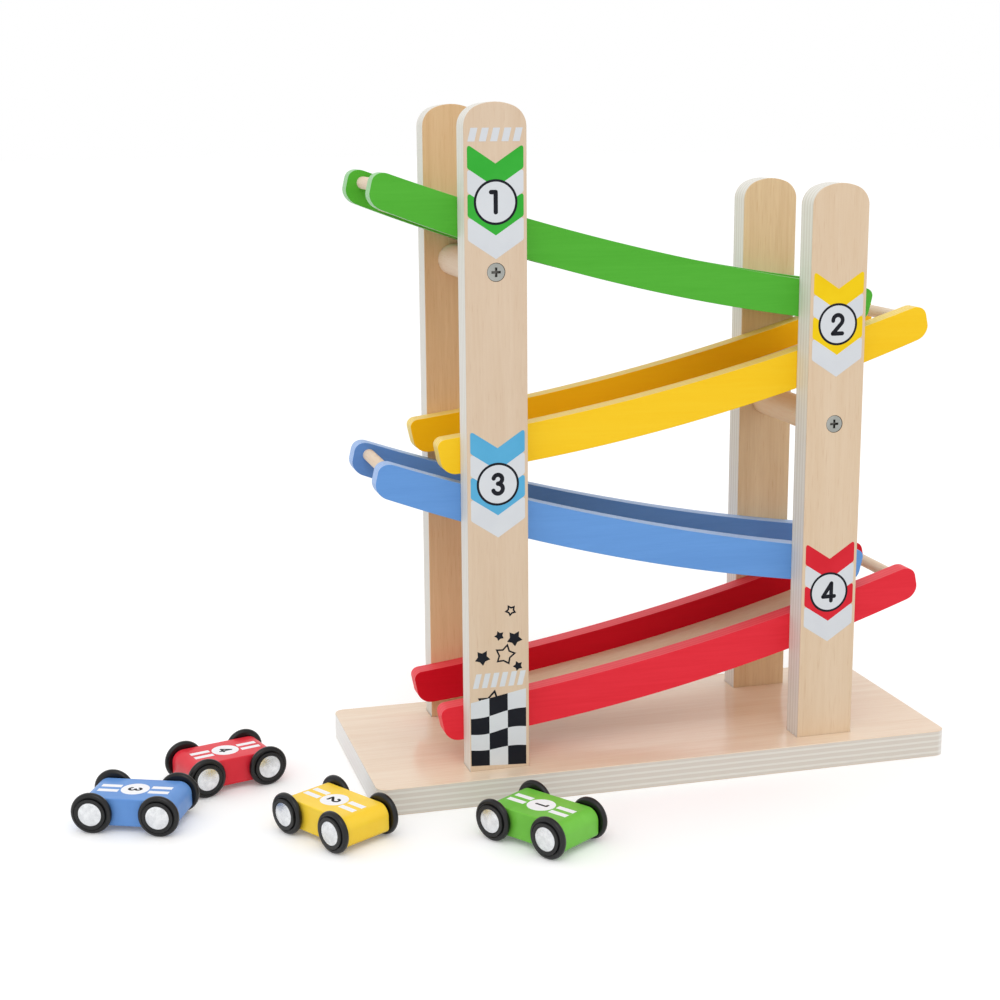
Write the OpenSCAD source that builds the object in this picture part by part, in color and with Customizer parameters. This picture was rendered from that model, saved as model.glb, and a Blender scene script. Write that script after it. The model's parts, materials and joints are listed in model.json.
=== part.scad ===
// Click clack track: four curved ramps between two pairs of posts, with four small cars that run down them.
// The base stands on its underside at z = 0, x runs along the base and y runs from the front to the back.

/* [Base board] */
// Length of the base board
base_length = 266.5; // [250:0.5:300]
// Distance from the posts' outer faces to the long edges of the base board
base_margin = 10.6; // [8:0.2:16]
// Thickness of the plywood of the base board and the posts
board_thickness = 12; // [10:0.5:15]
// Radius of the base board's corners
base_corner_radius = 5; // [2:0.5:10]
// Depth of the slots in the base that the posts stand in
slot_depth = 6; // [4:0.5:7]

/* [Posts] */
// Width of each post
post_width = 26.4; // [22:0.2:32]
// Distance between the centres of the left and right posts
post_pitch = 153.7; // [140:0.1:165]
// Radius of the low arch along a post's top
post_top_radius = 20; // [18:1:40]
// Radius of the corners between a post's top and its sides
post_corner_radius = 9; // [6:0.5:10]
// Height of the left posts above the top ramp where they meet it
left_post_rise = 42.1; // [36:0.1:60]
// Height of the right posts above the top ramp where they meet it
right_post_rise = 43.7; // [36:0.1:60]

/* [Ramps] */
// Width of a ramp over its two rails, which is also the gap between the front and rear posts
ramp_width = 62.6; // [56:0.2:70]
// Height of the lowest ramp's rail tops at the middle of the track
lowest_ramp_height = 52.6; // [50:0.1:65]
// Drop from the low end of the steepest ramp to the ramp below it
ramp_drop = 15.7; // [15:0.1:25]
// Angle of the red ramp, which runs down to the left
red_ramp_angle = 11.4; // [10:0.1:13.5]
// Angle of the blue ramp, which runs down to the right
blue_ramp_angle = 12.9; // [10:0.1:13.5]
// Angle of the yellow ramp, which runs down to the left
yellow_ramp_angle = 11.9; // [10:0.1:13.5]
// Angle of the green ramp, which runs down to the right
green_ramp_angle = 13.2; // [10:0.1:13.5]
// Length from the middle of a ramp to its low end
ramp_low_reach = 101.6; // [96:0.1:110]
// Length from the middle of a ramp to its high end
ramp_high_reach = 129.4; // [122:0.1:140]

/* [Rails] */
// Thickness of each rail
rail_thickness = 9; // [7:0.5:11]
// Height of each rail at the middle of its length
rail_height = 16.8; // [16:0.1:18]
// Radius of the hollow curve along a rail's top
rail_top_radius = 1100; // [950:10:1400]
// Radius of the curve along a rail's underside, tighter than its top so that the ends are slimmer
rail_bottom_radius = 860; // [760:10:930]
// Corner radius at a rail's high end
high_end_corner = 6; // [4:0.5:7]
// Upper corner radius at a rail's low end
low_end_top_corner = 4; // [2:0.5:4.5]
// Lower corner radius at a rail's low end, which clears the ramp below
low_end_bottom_corner = 6; // [5:0.5:10]

/* [Ramp floors and stop dowels] */
// Thickness of a ramp's floor strip
floor_thickness = 3; // [2:0.5:3.5]
// Depth of the running surface below the rail tops
floor_depth = 11.2; // [9:0.1:11.5]
// Depth of the groove in each rail that holds the floor strip
groove_depth = 3; // [2:0.5:5]
// Distance from a rail's low end to the floor strip
floor_low_inset = 26; // [18:1:34]
// Distance from a rail's high end to the floor strip
floor_high_inset = 15.5; // [14:0.5:25]
// Diameter of the dowel that stops a car at a ramp's high end
stop_dowel_diameter = 5.4; // [4:0.1:7]
// Distance from a rail's high end to the stop dowel's axis
stop_dowel_inset = 6.8; // [6.2:0.1:9]
// Depth of the stop dowel's axis below the rail tops
stop_dowel_depth = 5.1; // [4.5:0.1:8]
// Depth of the socket in each rail that holds the stop dowel
stop_dowel_socket = 5; // [3:0.5:6]

/* [Spreader dowels and screws] */
// Diameter of the dowels that hold the front and rear posts apart
spreader_diameter = 14; // [12:0.5:16]
// Gap between the top ramp's rails and the left spreader
left_spreader_gap = 2.3; // [1:0.1:10]
// Gap between the next ramp's rails and the right spreader
right_spreader_gap = 11.6; // [2:0.1:20]
// Diameter of the flat screw heads
screw_head_diameter = 7.5; // [6:0.1:9]
// Diameter of the screw shanks
screw_shank_diameter = 4; // [3:0.5:5]
// Length of the screws over their heads
screw_length = 30; // [20:1:36]

/* [Cars] */
// Length of a car's body
car_length = 41.4; // [38:0.2:46]
// Width of a car's body
car_width = 23; // [20:0.2:26]
// Height of a car's body from its underside to its flat roof
car_height = 12; // [11:0.2:14]
// Gap between a car's underside and the ground
car_ground_gap = 2.7; // [2:0.1:4]
// Radius of the curve from the roof into the nose and the tail
car_roof_radius = 5.2; // [3:0.1:6]
// Radius of the curve from the underside into the nose and the tail
car_sill_radius = 2.2; // [1:0.1:4]
// Distance from a car's nose and tail to the axles
axle_inset = 6.2; // [5:0.1:8]
// Diameter of the wheels
wheel_diameter = 17.6; // [15:0.2:19]
// Thickness of the wheels at their tread
wheel_thickness = 2.8; // [2.4:0.1:4]
// Diameter of the raised rim around a hub cap
rim_diameter = 13.6; // [12.6:0.2:14]
// Diameter of the bright hub caps
hub_cap_diameter = 9.9; // [8:0.1:11]
// Diameter of the axles
axle_diameter = 3; // [2.5:0.1:4]

/* [Hidden] */

$fn = 64;
// Overrun of every cut past the face it opens
overrun = 1;

// Ramps from the bottom up, and the sides that pieces are on
RED = 0;
BLUE = 1;
YELLOW = 2;
GREEN = 3;
LEFT = -1;
RIGHT = 1;
FRONT = -1;
REAR = 1;

// Fits between pieces
slot_gap = 0.25;
glue_gap = 0.05;
screw_seat_gap = 0.15;
axle_running_gap = 0.08;
press_gap = 0.01;

// Points along a rail's curve, and along each of its corners
curve_steps = 24;
corner_steps = 6;

// Small sizes of the screws
screw_head_land = 0.4;
screw_tip = 5;
screw_sink = 0.15;
recess_length_share = 0.6;
recess_width_share = 0.16;
recess_depth = 1.4;

// Small sizes of the wheels, hub caps and axles
wheel_gap = 0.55;
wheel_boss_height = 0.25;
wheel_boss_share = 1.8;
tread_shoulder_share = 0.46;
rim_rise = 0.8;
rim_draft = 0.25;
hub_recess = 0.6;
hub_cap_gap = 0.15;
hub_cap_rim = 0.45;
hub_cap_dome = 0.5;
hub_cap_socket = 0.6;

// Places of the cars on the table, as shares of the base board's length and width, and their headings
BLUE_CAR = 0;
RED_CAR = 1;
YELLOW_CAR = 2;
GREEN_CAR = 3;
car_place_shares = [[-0.870, -0.277], [-0.714, 0.059], [-0.576, -0.603], [-0.275, -0.875]];
car_headings = [-23.4, 16.3, -59, -55.9];

// Colours
PLY = "burlywood";
PALE_WOOD = "wheat";
STEEL = "silver";
TYRE = [0.12, 0.12, 0.13];
RAMP_COLOURS = ["crimson", "cornflowerblue", "gold", "limegreen"];
CAR_COLOURS = ["cornflowerblue", "crimson", "gold", "yellowgreen"];

// Sizes and places that follow from the sizes above
base_width = ramp_width + 2 * board_thickness + 2 * base_margin;
ramp_spacing = ramp_drop + ramp_low_reach
    * (sin(max(red_ramp_angle, yellow_ramp_angle)) + sin(max(blue_ramp_angle, green_ramp_angle)));
ramp_angles = [red_ramp_angle, blue_ramp_angle, yellow_ramp_angle, green_ramp_angle];
post_x = post_pitch / 2;
post_inner_y = ramp_width / 2;
post_outer_y = post_inner_y + board_thickness;
post_foot_z = board_thickness - slot_depth;
rail_inner_y = ramp_width / 2 - rail_thickness;
axle_height = wheel_diameter / 2;
wheelbase = car_length - 2 * axle_inset;
wheel_inner_y = car_width / 2 + wheel_gap;
wheel_outer_y = wheel_inner_y + wheel_thickness + rim_rise;

function high_side(ramp) = ramp % 2 == 0 ? RIGHT : LEFT;
function ramp_height(ramp) = lowest_ramp_height + ramp * ramp_spacing;

// Height of a circle's lowest side at x, for a curve whose middle lies at the ramp's own middle
function curve_z(ramp, x, radius, rise) =
    let (side = high_side(ramp), tilt = ramp_angles[ramp])
    ramp_height(ramp) + rise * cos(tilt) - sqrt(radius * radius - pow(x + side * rise * sin(tilt), 2));
function rail_top_z(ramp, x) = curve_z(ramp, x, rail_top_radius, rail_top_radius);
function rail_bottom_z(ramp, x) = curve_z(ramp, x, rail_bottom_radius, rail_bottom_radius - rail_height);

function post_height(side) = rail_top_z(GREEN, side * post_x) + (side == LEFT ? left_post_rise : right_post_rise);
left_spreader_z = rail_bottom_z(GREEN, LEFT * post_x) - left_spreader_gap - spreader_diameter / 2;
right_spreader_z = rail_bottom_z(YELLOW, RIGHT * post_x) - right_spreader_gap - spreader_diameter / 2;
function spreader_z(side) = side == LEFT ? left_spreader_z : right_spreader_z;

// Outline of a rail seen from the side: s runs towards its high end and n is square to it
function top_n(s) = rail_top_radius - sqrt(pow(rail_top_radius, 2) - s * s);
function top_corner(end, r) =
    let (s = abs(end) - r, n = rail_top_radius - sqrt(pow(rail_top_radius + r, 2) - s * s),
        last = atan2(rail_top_radius - n, -s))
    [for (i = [0 : corner_steps])
        let (a = last * i / corner_steps)
        [sign(end) * (s + r * cos(a)), n + r * sin(a)]];
function bottom_corner(end, r) =
    let (s = abs(end) - r, centre = rail_bottom_radius - rail_height,
        n = centre - sqrt(pow(rail_bottom_radius - r, 2) - s * s), last = atan2(n - centre, s))
    [for (i = [0 : corner_steps])
        let (a = last * i / corner_steps)
        [sign(end) * (s + r * cos(a)), n + r * sin(a)]];
function reversed(points) = [for (i = [len(points) - 1 : -1 : 0]) points[i]];
function circle_run(from, to, radius, centre) =
    [for (i = [1 : curve_steps - 1])
        let (s = from + (to - from) * i / curve_steps)
        [s, centre - sqrt(radius * radius - s * s)]];
function rail_outline() =
    let (high_top = top_corner(ramp_high_reach, high_end_corner),
        high_bottom = bottom_corner(ramp_high_reach, high_end_corner),
        low_top = top_corner(-ramp_low_reach, low_end_top_corner),
        low_bottom = bottom_corner(-ramp_low_reach, low_end_bottom_corner))
    concat(high_top,
        circle_run(high_top[corner_steps][0], low_top[corner_steps][0], rail_top_radius, rail_top_radius),
        reversed(low_top), low_bottom,
        circle_run(low_bottom[corner_steps][0], high_bottom[corner_steps][0],
            rail_bottom_radius, rail_bottom_radius - rail_height),
        reversed(high_bottom));

// Outline of a floor strip seen from the side, grown by a gap
function floor_outline(gap) =
    let (low = floor_low_inset - ramp_low_reach - gap, high = ramp_high_reach - floor_high_inset + gap,
        run = [for (i = [0 : curve_steps]) low + (high - low) * i / curve_steps])
    concat([for (s = run) [s, top_n(s) - floor_depth + gap]],
        [for (s = reversed(run)) [s, top_n(s) - floor_depth - floor_thickness - gap]]);

// Lays an outline of a ramp, which leans to its high side, between two depths across the track
module ramp_slice(ramp, outline, front_y, rear_y) {
    side = high_side(ramp);
    translate([0, rear_y, ramp_height(ramp)]) rotate([90, -side * ramp_angles[ramp], 0])
        linear_extrude(rear_y - front_y)
            polygon([for (p = outline) [side * p[0], p[1]]]);
}

// A bar across a ramp at its stop dowel's place
module stop_bar(ramp, diameter, reach) {
    side = high_side(ramp);
    s = ramp_high_reach - stop_dowel_inset;
    translate([0, 0, ramp_height(ramp)]) rotate([0, -side * ramp_angles[ramp], 0])
        translate([side * s, 0, top_n(s) - stop_dowel_depth]) rotate([90, 0, 0])
            cylinder(h = 2 * reach, d = diameter, center = true);
}

module rail(ramp, face) {
    color(RAMP_COLOURS[ramp]) difference() {
        ramp_slice(ramp, rail_outline(), face == FRONT ? -post_inner_y : rail_inner_y,
            face == FRONT ? -rail_inner_y : post_inner_y);
        ramp_slice(ramp, floor_outline(glue_gap), -rail_inner_y - groove_depth - glue_gap,
            rail_inner_y + groove_depth + glue_gap);
        stop_bar(ramp, stop_dowel_diameter + 2 * glue_gap, rail_inner_y + stop_dowel_socket + glue_gap);
    }
}

module ramp_floor(ramp) {
    color(PALE_WOOD) ramp_slice(ramp, floor_outline(0), -rail_inner_y - groove_depth, rail_inner_y + groove_depth);
}

module stop_dowel(ramp) {
    color(PALE_WOOD) stop_bar(ramp, stop_dowel_diameter, rail_inner_y + stop_dowel_socket);
}

// A flat-headed screw along -z with its head's face at z = 0, grown by a gap for its hole
module screw_form(gap, head_overrun) {
    head = screw_head_diameter / 2 + gap;
    shank = screw_shank_diameter / 2 + gap;
    rotate_extrude()
        polygon([[0, head_overrun], [head, head_overrun], [head, -screw_head_land],
            [shank, -screw_head_land - head + shank], [shank, -screw_length + screw_tip], [0, -screw_length - gap]]);
}

module screw() {
    difference() {
        screw_form(0, 0);
        for (turn = [0, 90])
            rotate([0, 0, turn])
                translate([0, 0, (overrun - recess_depth) / 2])
                    cube([screw_head_diameter * recess_length_share, screw_head_diameter * recess_width_share,
                        recess_depth + overrun], center = true);
    }
}

// Puts a screw through each post into the end of its spreader, sunk a little below the post's face
module at_spreader_screws(sides, faces) {
    for (side = sides, face = faces)
        translate([side * post_x, face * (post_outer_y - screw_sink), spreader_z(side)])
            rotate([-90 * face, 0, 0]) children();
}

// Puts a screw through the base board into the foot of each post
module at_post_screws(sides, faces) {
    for (side = sides, face = faces)
        translate([side * post_x, face * (post_inner_y + board_thickness / 2), screw_sink])
            rotate([180, 0, 0]) children();
}

module frame_screws() {
    color(STEEL) {
        at_spreader_screws([LEFT, RIGHT], [FRONT, REAR]) screw();
        at_post_screws([LEFT, RIGHT], [FRONT, REAR]) screw();
    }
}

module base_board() {
    inner = [base_length - 2 * base_corner_radius, base_width - 2 * base_corner_radius];
    color(PLY) difference() {
        linear_extrude(board_thickness) {
            square([base_length, inner[1]], center = true);
            square([inner[0], base_width], center = true);
            for (x = [LEFT, RIGHT], y = [FRONT, REAR])
                translate([x * inner[0] / 2, y * inner[1] / 2]) circle(base_corner_radius);
        }
        for (side = [LEFT, RIGHT], face = [FRONT, REAR])
            translate([side * post_x, face * (post_inner_y + board_thickness / 2), post_foot_z + board_thickness / 2])
                cube([post_width + 2 * slot_gap, board_thickness + 2 * slot_gap, board_thickness], center = true);
        at_post_screws([LEFT, RIGHT], [FRONT, REAR]) screw_form(screw_seat_gap, overrun);
    }
}

// Outline of a post seen from the front: straight sides, round corners and a low arch that meets them smoothly
module post_outline(height) {
    corner_x = post_width / 2 - post_corner_radius;
    reach = post_top_radius - post_corner_radius;
    arch_z = height - post_top_radius;
    corner_z = arch_z + sqrt(reach * reach - corner_x * corner_x);
    meet_x = corner_x * post_top_radius / reach;
    translate([-post_width / 2, post_foot_z]) square([post_width, corner_z - post_foot_z]);
    for (end = [LEFT, RIGHT]) translate([end * corner_x, corner_z]) circle(post_corner_radius);
    intersection() {
        translate([0, arch_z]) circle(post_top_radius);
        translate([-meet_x, corner_z]) square([2 * meet_x, post_top_radius]);
    }
}

module post(side, face) {
    color(PLY) difference() {
        translate([side * post_x, face * post_inner_y + (face == REAR ? board_thickness : 0), 0])
            rotate([90, 0, 0])
                linear_extrude(board_thickness) post_outline(post_height(side));
        at_spreader_screws([side], [face]) screw_form(screw_seat_gap, overrun);
        at_post_screws([side], [face]) screw_form(press_gap, overrun);
    }
}

module spreader(side) {
    color(PALE_WOOD) difference() {
        translate([side * post_x, 0, spreader_z(side)]) rotate([90, 0, 0])
            cylinder(h = ramp_width, d = spreader_diameter, center = true);
        at_spreader_screws([side], [FRONT, REAR]) screw_form(press_gap, overrun);
    }
}

// Stands a car's pieces at its place on the table, nose along +x
module at_car(car) {
    translate([car_place_shares[car][0] * base_length, car_place_shares[car][1] * base_width, 0])
        rotate([0, 0, car_headings[car]]) children();
}

// Puts a wheel's pieces on one end of an axle, with z pointing away from the car
module at_wheel(end, face) {
    translate([end * wheelbase / 2, face * wheel_inner_y, axle_height]) rotate([-90 * face, 0, 0]) children();
}

module axle_bar(end, diameter, reach) {
    translate([end * wheelbase / 2, 0, axle_height]) rotate([90, 0, 0])
        cylinder(h = 2 * reach, d = diameter, center = true);
}

module car_profile() {
    straight = car_height - car_roof_radius - car_sill_radius;
    for (end = [LEFT, RIGHT]) {
        translate([end * (car_length / 2 - car_roof_radius), car_height - car_roof_radius]) circle(car_roof_radius);
        translate([end * (car_length / 2 - car_sill_radius), car_sill_radius]) circle(car_sill_radius);
    }
    translate([-car_length / 2 + car_roof_radius, 0])
        square([car_length - 2 * car_roof_radius, car_height]);
    translate([-car_length / 2, car_sill_radius]) square([car_length, straight]);
    translate([-car_length / 2 + car_sill_radius, 0])
        square([car_length - 2 * car_sill_radius, car_sill_radius + straight]);
}

module car_body(car) {
    color(CAR_COLOURS[car]) at_car(car) difference() {
        translate([0, car_width / 2, car_ground_gap]) rotate([90, 0, 0]) linear_extrude(car_width) car_profile();
        for (end = [LEFT, RIGHT]) axle_bar(end, axle_diameter + 2 * axle_running_gap, car_width / 2 + overrun);
    }
}

module car_axle(car, end) {
    color(STEEL) at_car(car)
        axle_bar(end, axle_diameter, wheel_outer_y - hub_recess + hub_cap_socket - press_gap);
}

module car_wheel(car, end, face) {
    tread = wheel_diameter / 2;
    tread_shoulder = tread_shoulder_share * wheel_thickness;
    shoulder_x = tread - tread_shoulder;
    bore = axle_diameter / 2 + press_gap;
    boss = axle_diameter / 2 * wheel_boss_share;
    rim = rim_diameter / 2;
    rim_z = wheel_thickness + rim_rise;
    hub = hub_cap_diameter / 2 + hub_cap_gap;
    color(TYRE) at_car(car) at_wheel(end, face) rotate_extrude()
        polygon(concat([[bore, -wheel_boss_height], [boss, -wheel_boss_height], [boss, 0]],
            [for (a = [-90 : 90 / corner_steps : 0])
                [shoulder_x + tread_shoulder * cos(a), tread_shoulder * (1 + sin(a))]],
            [for (a = [0 : 90 / corner_steps : 90])
                [shoulder_x + tread_shoulder * cos(a), wheel_thickness - tread_shoulder * (1 - sin(a))]],
            [[rim, wheel_thickness], [rim - rim_draft, rim_z],
            [hub, rim_z], [hub, rim_z - hub_recess], [bore, rim_z - hub_recess]]));
}

module car_hub_caps(car, end) {
    cap = hub_cap_diameter / 2;
    socket = axle_diameter / 2 + press_gap;
    dome = (cap * cap + hub_cap_dome * hub_cap_dome) / (2 * hub_cap_dome);
    color(STEEL) at_car(car) for (face = [FRONT, REAR]) at_wheel(end, face)
        translate([0, 0, wheel_thickness + rim_rise - hub_recess]) rotate_extrude()
            polygon(concat([[socket, 0], [cap, 0]],
                [for (i = [0 : corner_steps])
                    let (r = cap * (1 - i / corner_steps))
                    [r, hub_cap_rim + sqrt(dome * dome - r * r) - dome + hub_cap_dome]],
                [[0, hub_cap_socket], [socket, hub_cap_socket]]));
}

base_board();
post(LEFT, FRONT);  // front_left_post
post(LEFT, REAR);  // rear_left_post
post(RIGHT, FRONT);  // front_right_post
post(RIGHT, REAR);  // rear_right_post
spreader(LEFT);  // left_spreader
spreader(RIGHT);  // right_spreader
frame_screws();
rail(RED, FRONT);  // red_front_rail
rail(RED, REAR);  // red_rear_rail
ramp_floor(RED);  // red_floor
stop_dowel(RED);  // red_stop_dowel
rail(BLUE, FRONT);  // blue_front_rail
rail(BLUE, REAR);  // blue_rear_rail
ramp_floor(BLUE);  // blue_floor
stop_dowel(BLUE);  // blue_stop_dowel
rail(YELLOW, FRONT);  // yellow_front_rail
rail(YELLOW, REAR);  // yellow_rear_rail
ramp_floor(YELLOW);  // yellow_floor
stop_dowel(YELLOW);  // yellow_stop_dowel
rail(GREEN, FRONT);  // green_front_rail
rail(GREEN, REAR);  // green_rear_rail
ramp_floor(GREEN);  // green_floor
stop_dowel(GREEN);  // green_stop_dowel
car_body(BLUE_CAR);  // blue_car_body
car_axle(BLUE_CAR, RIGHT);  // blue_car_front_axle
car_axle(BLUE_CAR, LEFT);  // blue_car_rear_axle
car_wheel(BLUE_CAR, RIGHT, REAR);  // blue_car_front_left_wheel
car_wheel(BLUE_CAR, RIGHT, FRONT);  // blue_car_front_right_wheel
car_wheel(BLUE_CAR, LEFT, REAR);  // blue_car_rear_left_wheel
car_wheel(BLUE_CAR, LEFT, FRONT);  // blue_car_rear_right_wheel
car_hub_caps(BLUE_CAR, RIGHT);  // blue_car_front_hub_caps
car_hub_caps(BLUE_CAR, LEFT);  // blue_car_rear_hub_caps
car_body(RED_CAR);  // red_car_body
car_axle(RED_CAR, RIGHT);  // red_car_front_axle
car_axle(RED_CAR, LEFT);  // red_car_rear_axle
car_wheel(RED_CAR, RIGHT, REAR);  // red_car_front_left_wheel
car_wheel(RED_CAR, RIGHT, FRONT);  // red_car_front_right_wheel
car_wheel(RED_CAR, LEFT, REAR);  // red_car_rear_left_wheel
car_wheel(RED_CAR, LEFT, FRONT);  // red_car_rear_right_wheel
car_hub_caps(RED_CAR, RIGHT);  // red_car_front_hub_caps
car_hub_caps(RED_CAR, LEFT);  // red_car_rear_hub_caps
car_body(YELLOW_CAR);  // yellow_car_body
car_axle(YELLOW_CAR, RIGHT);  // yellow_car_front_axle
car_axle(YELLOW_CAR, LEFT);  // yellow_car_rear_axle
car_wheel(YELLOW_CAR, RIGHT, REAR);  // yellow_car_front_left_wheel
car_wheel(YELLOW_CAR, RIGHT, FRONT);  // yellow_car_front_right_wheel
car_wheel(YELLOW_CAR, LEFT, REAR);  // yellow_car_rear_left_wheel
car_wheel(YELLOW_CAR, LEFT, FRONT);  // yellow_car_rear_right_wheel
car_hub_caps(YELLOW_CAR, RIGHT);  // yellow_car_front_hub_caps
car_hub_caps(YELLOW_CAR, LEFT);  // yellow_car_rear_hub_caps
car_body(GREEN_CAR);  // green_car_body
car_axle(GREEN_CAR, RIGHT);  // green_car_front_axle
car_axle(GREEN_CAR, LEFT);  // green_car_rear_axle
car_wheel(GREEN_CAR, RIGHT, REAR);  // green_car_front_left_wheel
car_wheel(GREEN_CAR, RIGHT, FRONT);  // green_car_front_right_wheel
car_wheel(GREEN_CAR, LEFT, REAR);  // green_car_rear_left_wheel
car_wheel(GREEN_CAR, LEFT, FRONT);  // green_car_rear_right_wheel
car_hub_caps(GREEN_CAR, RIGHT);  // green_car_front_hub_caps
car_hub_caps(GREEN_CAR, LEFT);  // green_car_rear_hub_caps
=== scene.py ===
"""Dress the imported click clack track: plywood, painted ramps, printed posts and four small cars."""
import json
import logging
import math
from contextlib import contextmanager
from dataclasses import dataclass
from enum import Enum
from functools import cache
from typing import Callable, Iterator, NamedTuple, Sequence, Union

import bpy
from mathutils import Matrix, Vector


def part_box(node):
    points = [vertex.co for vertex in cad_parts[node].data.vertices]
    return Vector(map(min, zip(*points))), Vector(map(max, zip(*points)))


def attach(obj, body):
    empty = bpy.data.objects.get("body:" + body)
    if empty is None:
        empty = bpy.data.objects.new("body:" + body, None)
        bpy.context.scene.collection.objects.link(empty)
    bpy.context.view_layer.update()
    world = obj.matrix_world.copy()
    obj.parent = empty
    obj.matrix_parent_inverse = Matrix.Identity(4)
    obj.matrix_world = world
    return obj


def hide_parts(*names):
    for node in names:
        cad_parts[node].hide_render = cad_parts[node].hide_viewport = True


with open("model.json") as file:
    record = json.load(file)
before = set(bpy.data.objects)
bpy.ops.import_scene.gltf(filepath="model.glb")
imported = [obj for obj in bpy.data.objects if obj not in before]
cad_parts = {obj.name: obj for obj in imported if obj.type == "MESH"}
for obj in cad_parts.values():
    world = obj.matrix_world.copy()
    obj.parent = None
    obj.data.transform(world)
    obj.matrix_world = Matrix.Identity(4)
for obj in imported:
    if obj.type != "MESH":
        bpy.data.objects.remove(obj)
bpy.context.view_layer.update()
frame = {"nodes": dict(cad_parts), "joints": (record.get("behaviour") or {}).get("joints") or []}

LOG = logging.getLogger("click_clack_track")
TRACK_BODY = "track"

MM = 0.001
QUARTER_TURN = math.pi / 2
ARRIS_ANGLE = math.radians(35)
SMOOTH_ANGLE = math.radians(40)
DEGREES_A_STEP = 12
PRINT_ROOT = 0.02 * MM
WELD = 0.005 * MM

BOARD = 12.0 * MM
BOARD_PLIES = 9
RAIL = 9.0 * MM
RAIL_PLIES = 7
RAMP_HALF = 31.3 * MM

Colour = tuple[float, float, float, float]
Triple = tuple[float, float, float]
Spot = tuple[float, float]
Piece = bpy.types.Object
Node = bpy.types.Node
Tree = bpy.types.NodeTree
Socket = bpy.types.NodeSocket
Sockets = bpy.types.bpy_prop_collection
Value = Union[float, Sequence[float], Socket]
Inputs = dict[Union[str, int], Value]
Test = Callable[[list[Vector]], bool]

WHITE: Colour = (1.0, 1.0, 1.0, 1.0)


class Part(Enum):
    """Kinds of mesh element that can be picked, as Blender's select modes."""

    VERTS = (True, False, False)
    EDGES = (False, True, False)
    FACES = (False, False, True)


class Axis(Enum):
    """The axes that a board's thickness can lie along."""

    Y = 1
    Z = 2


class Side(Enum):
    """The two ends of the base board."""

    LEFT = -1
    RIGHT = 1


class Face(Enum):
    """The near and the far side of the track."""

    FRONT = -1
    REAR = 1


POST_SPOTS = [(side, face) for side in Side for face in Face]


def post_node(side: Side, face: Face) -> str:
    """Name a post's CAD node."""
    return f"{face.name.lower()}_{side.name.lower()}_post"


def at_height(z: float) -> Test:
    """Make a test for elements that lie level at a height."""
    return lambda corners: all(abs(corner.z - z) < WELD for corner in corners)


def srgb(red: int, green: int, blue: int) -> Colour:
    """Turn a colour as seen on a screen into the linear colour that shaders take.

    Args:
        red: Red from 0 to 255.
        green: Green from 0 to 255.
        blue: Blue from 0 to 255.

    Returns:
        The linear colour with full alpha.
    """

    def linear(level: int) -> float:
        """Undo the screen's tone curve for one channel."""
        share = level / 255
        return share / 12.92 if share <= 0.04045 else ((share + 0.055) / 1.055) ** 2.4

    return linear(red), linear(green), linear(blue), 1.0


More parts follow.
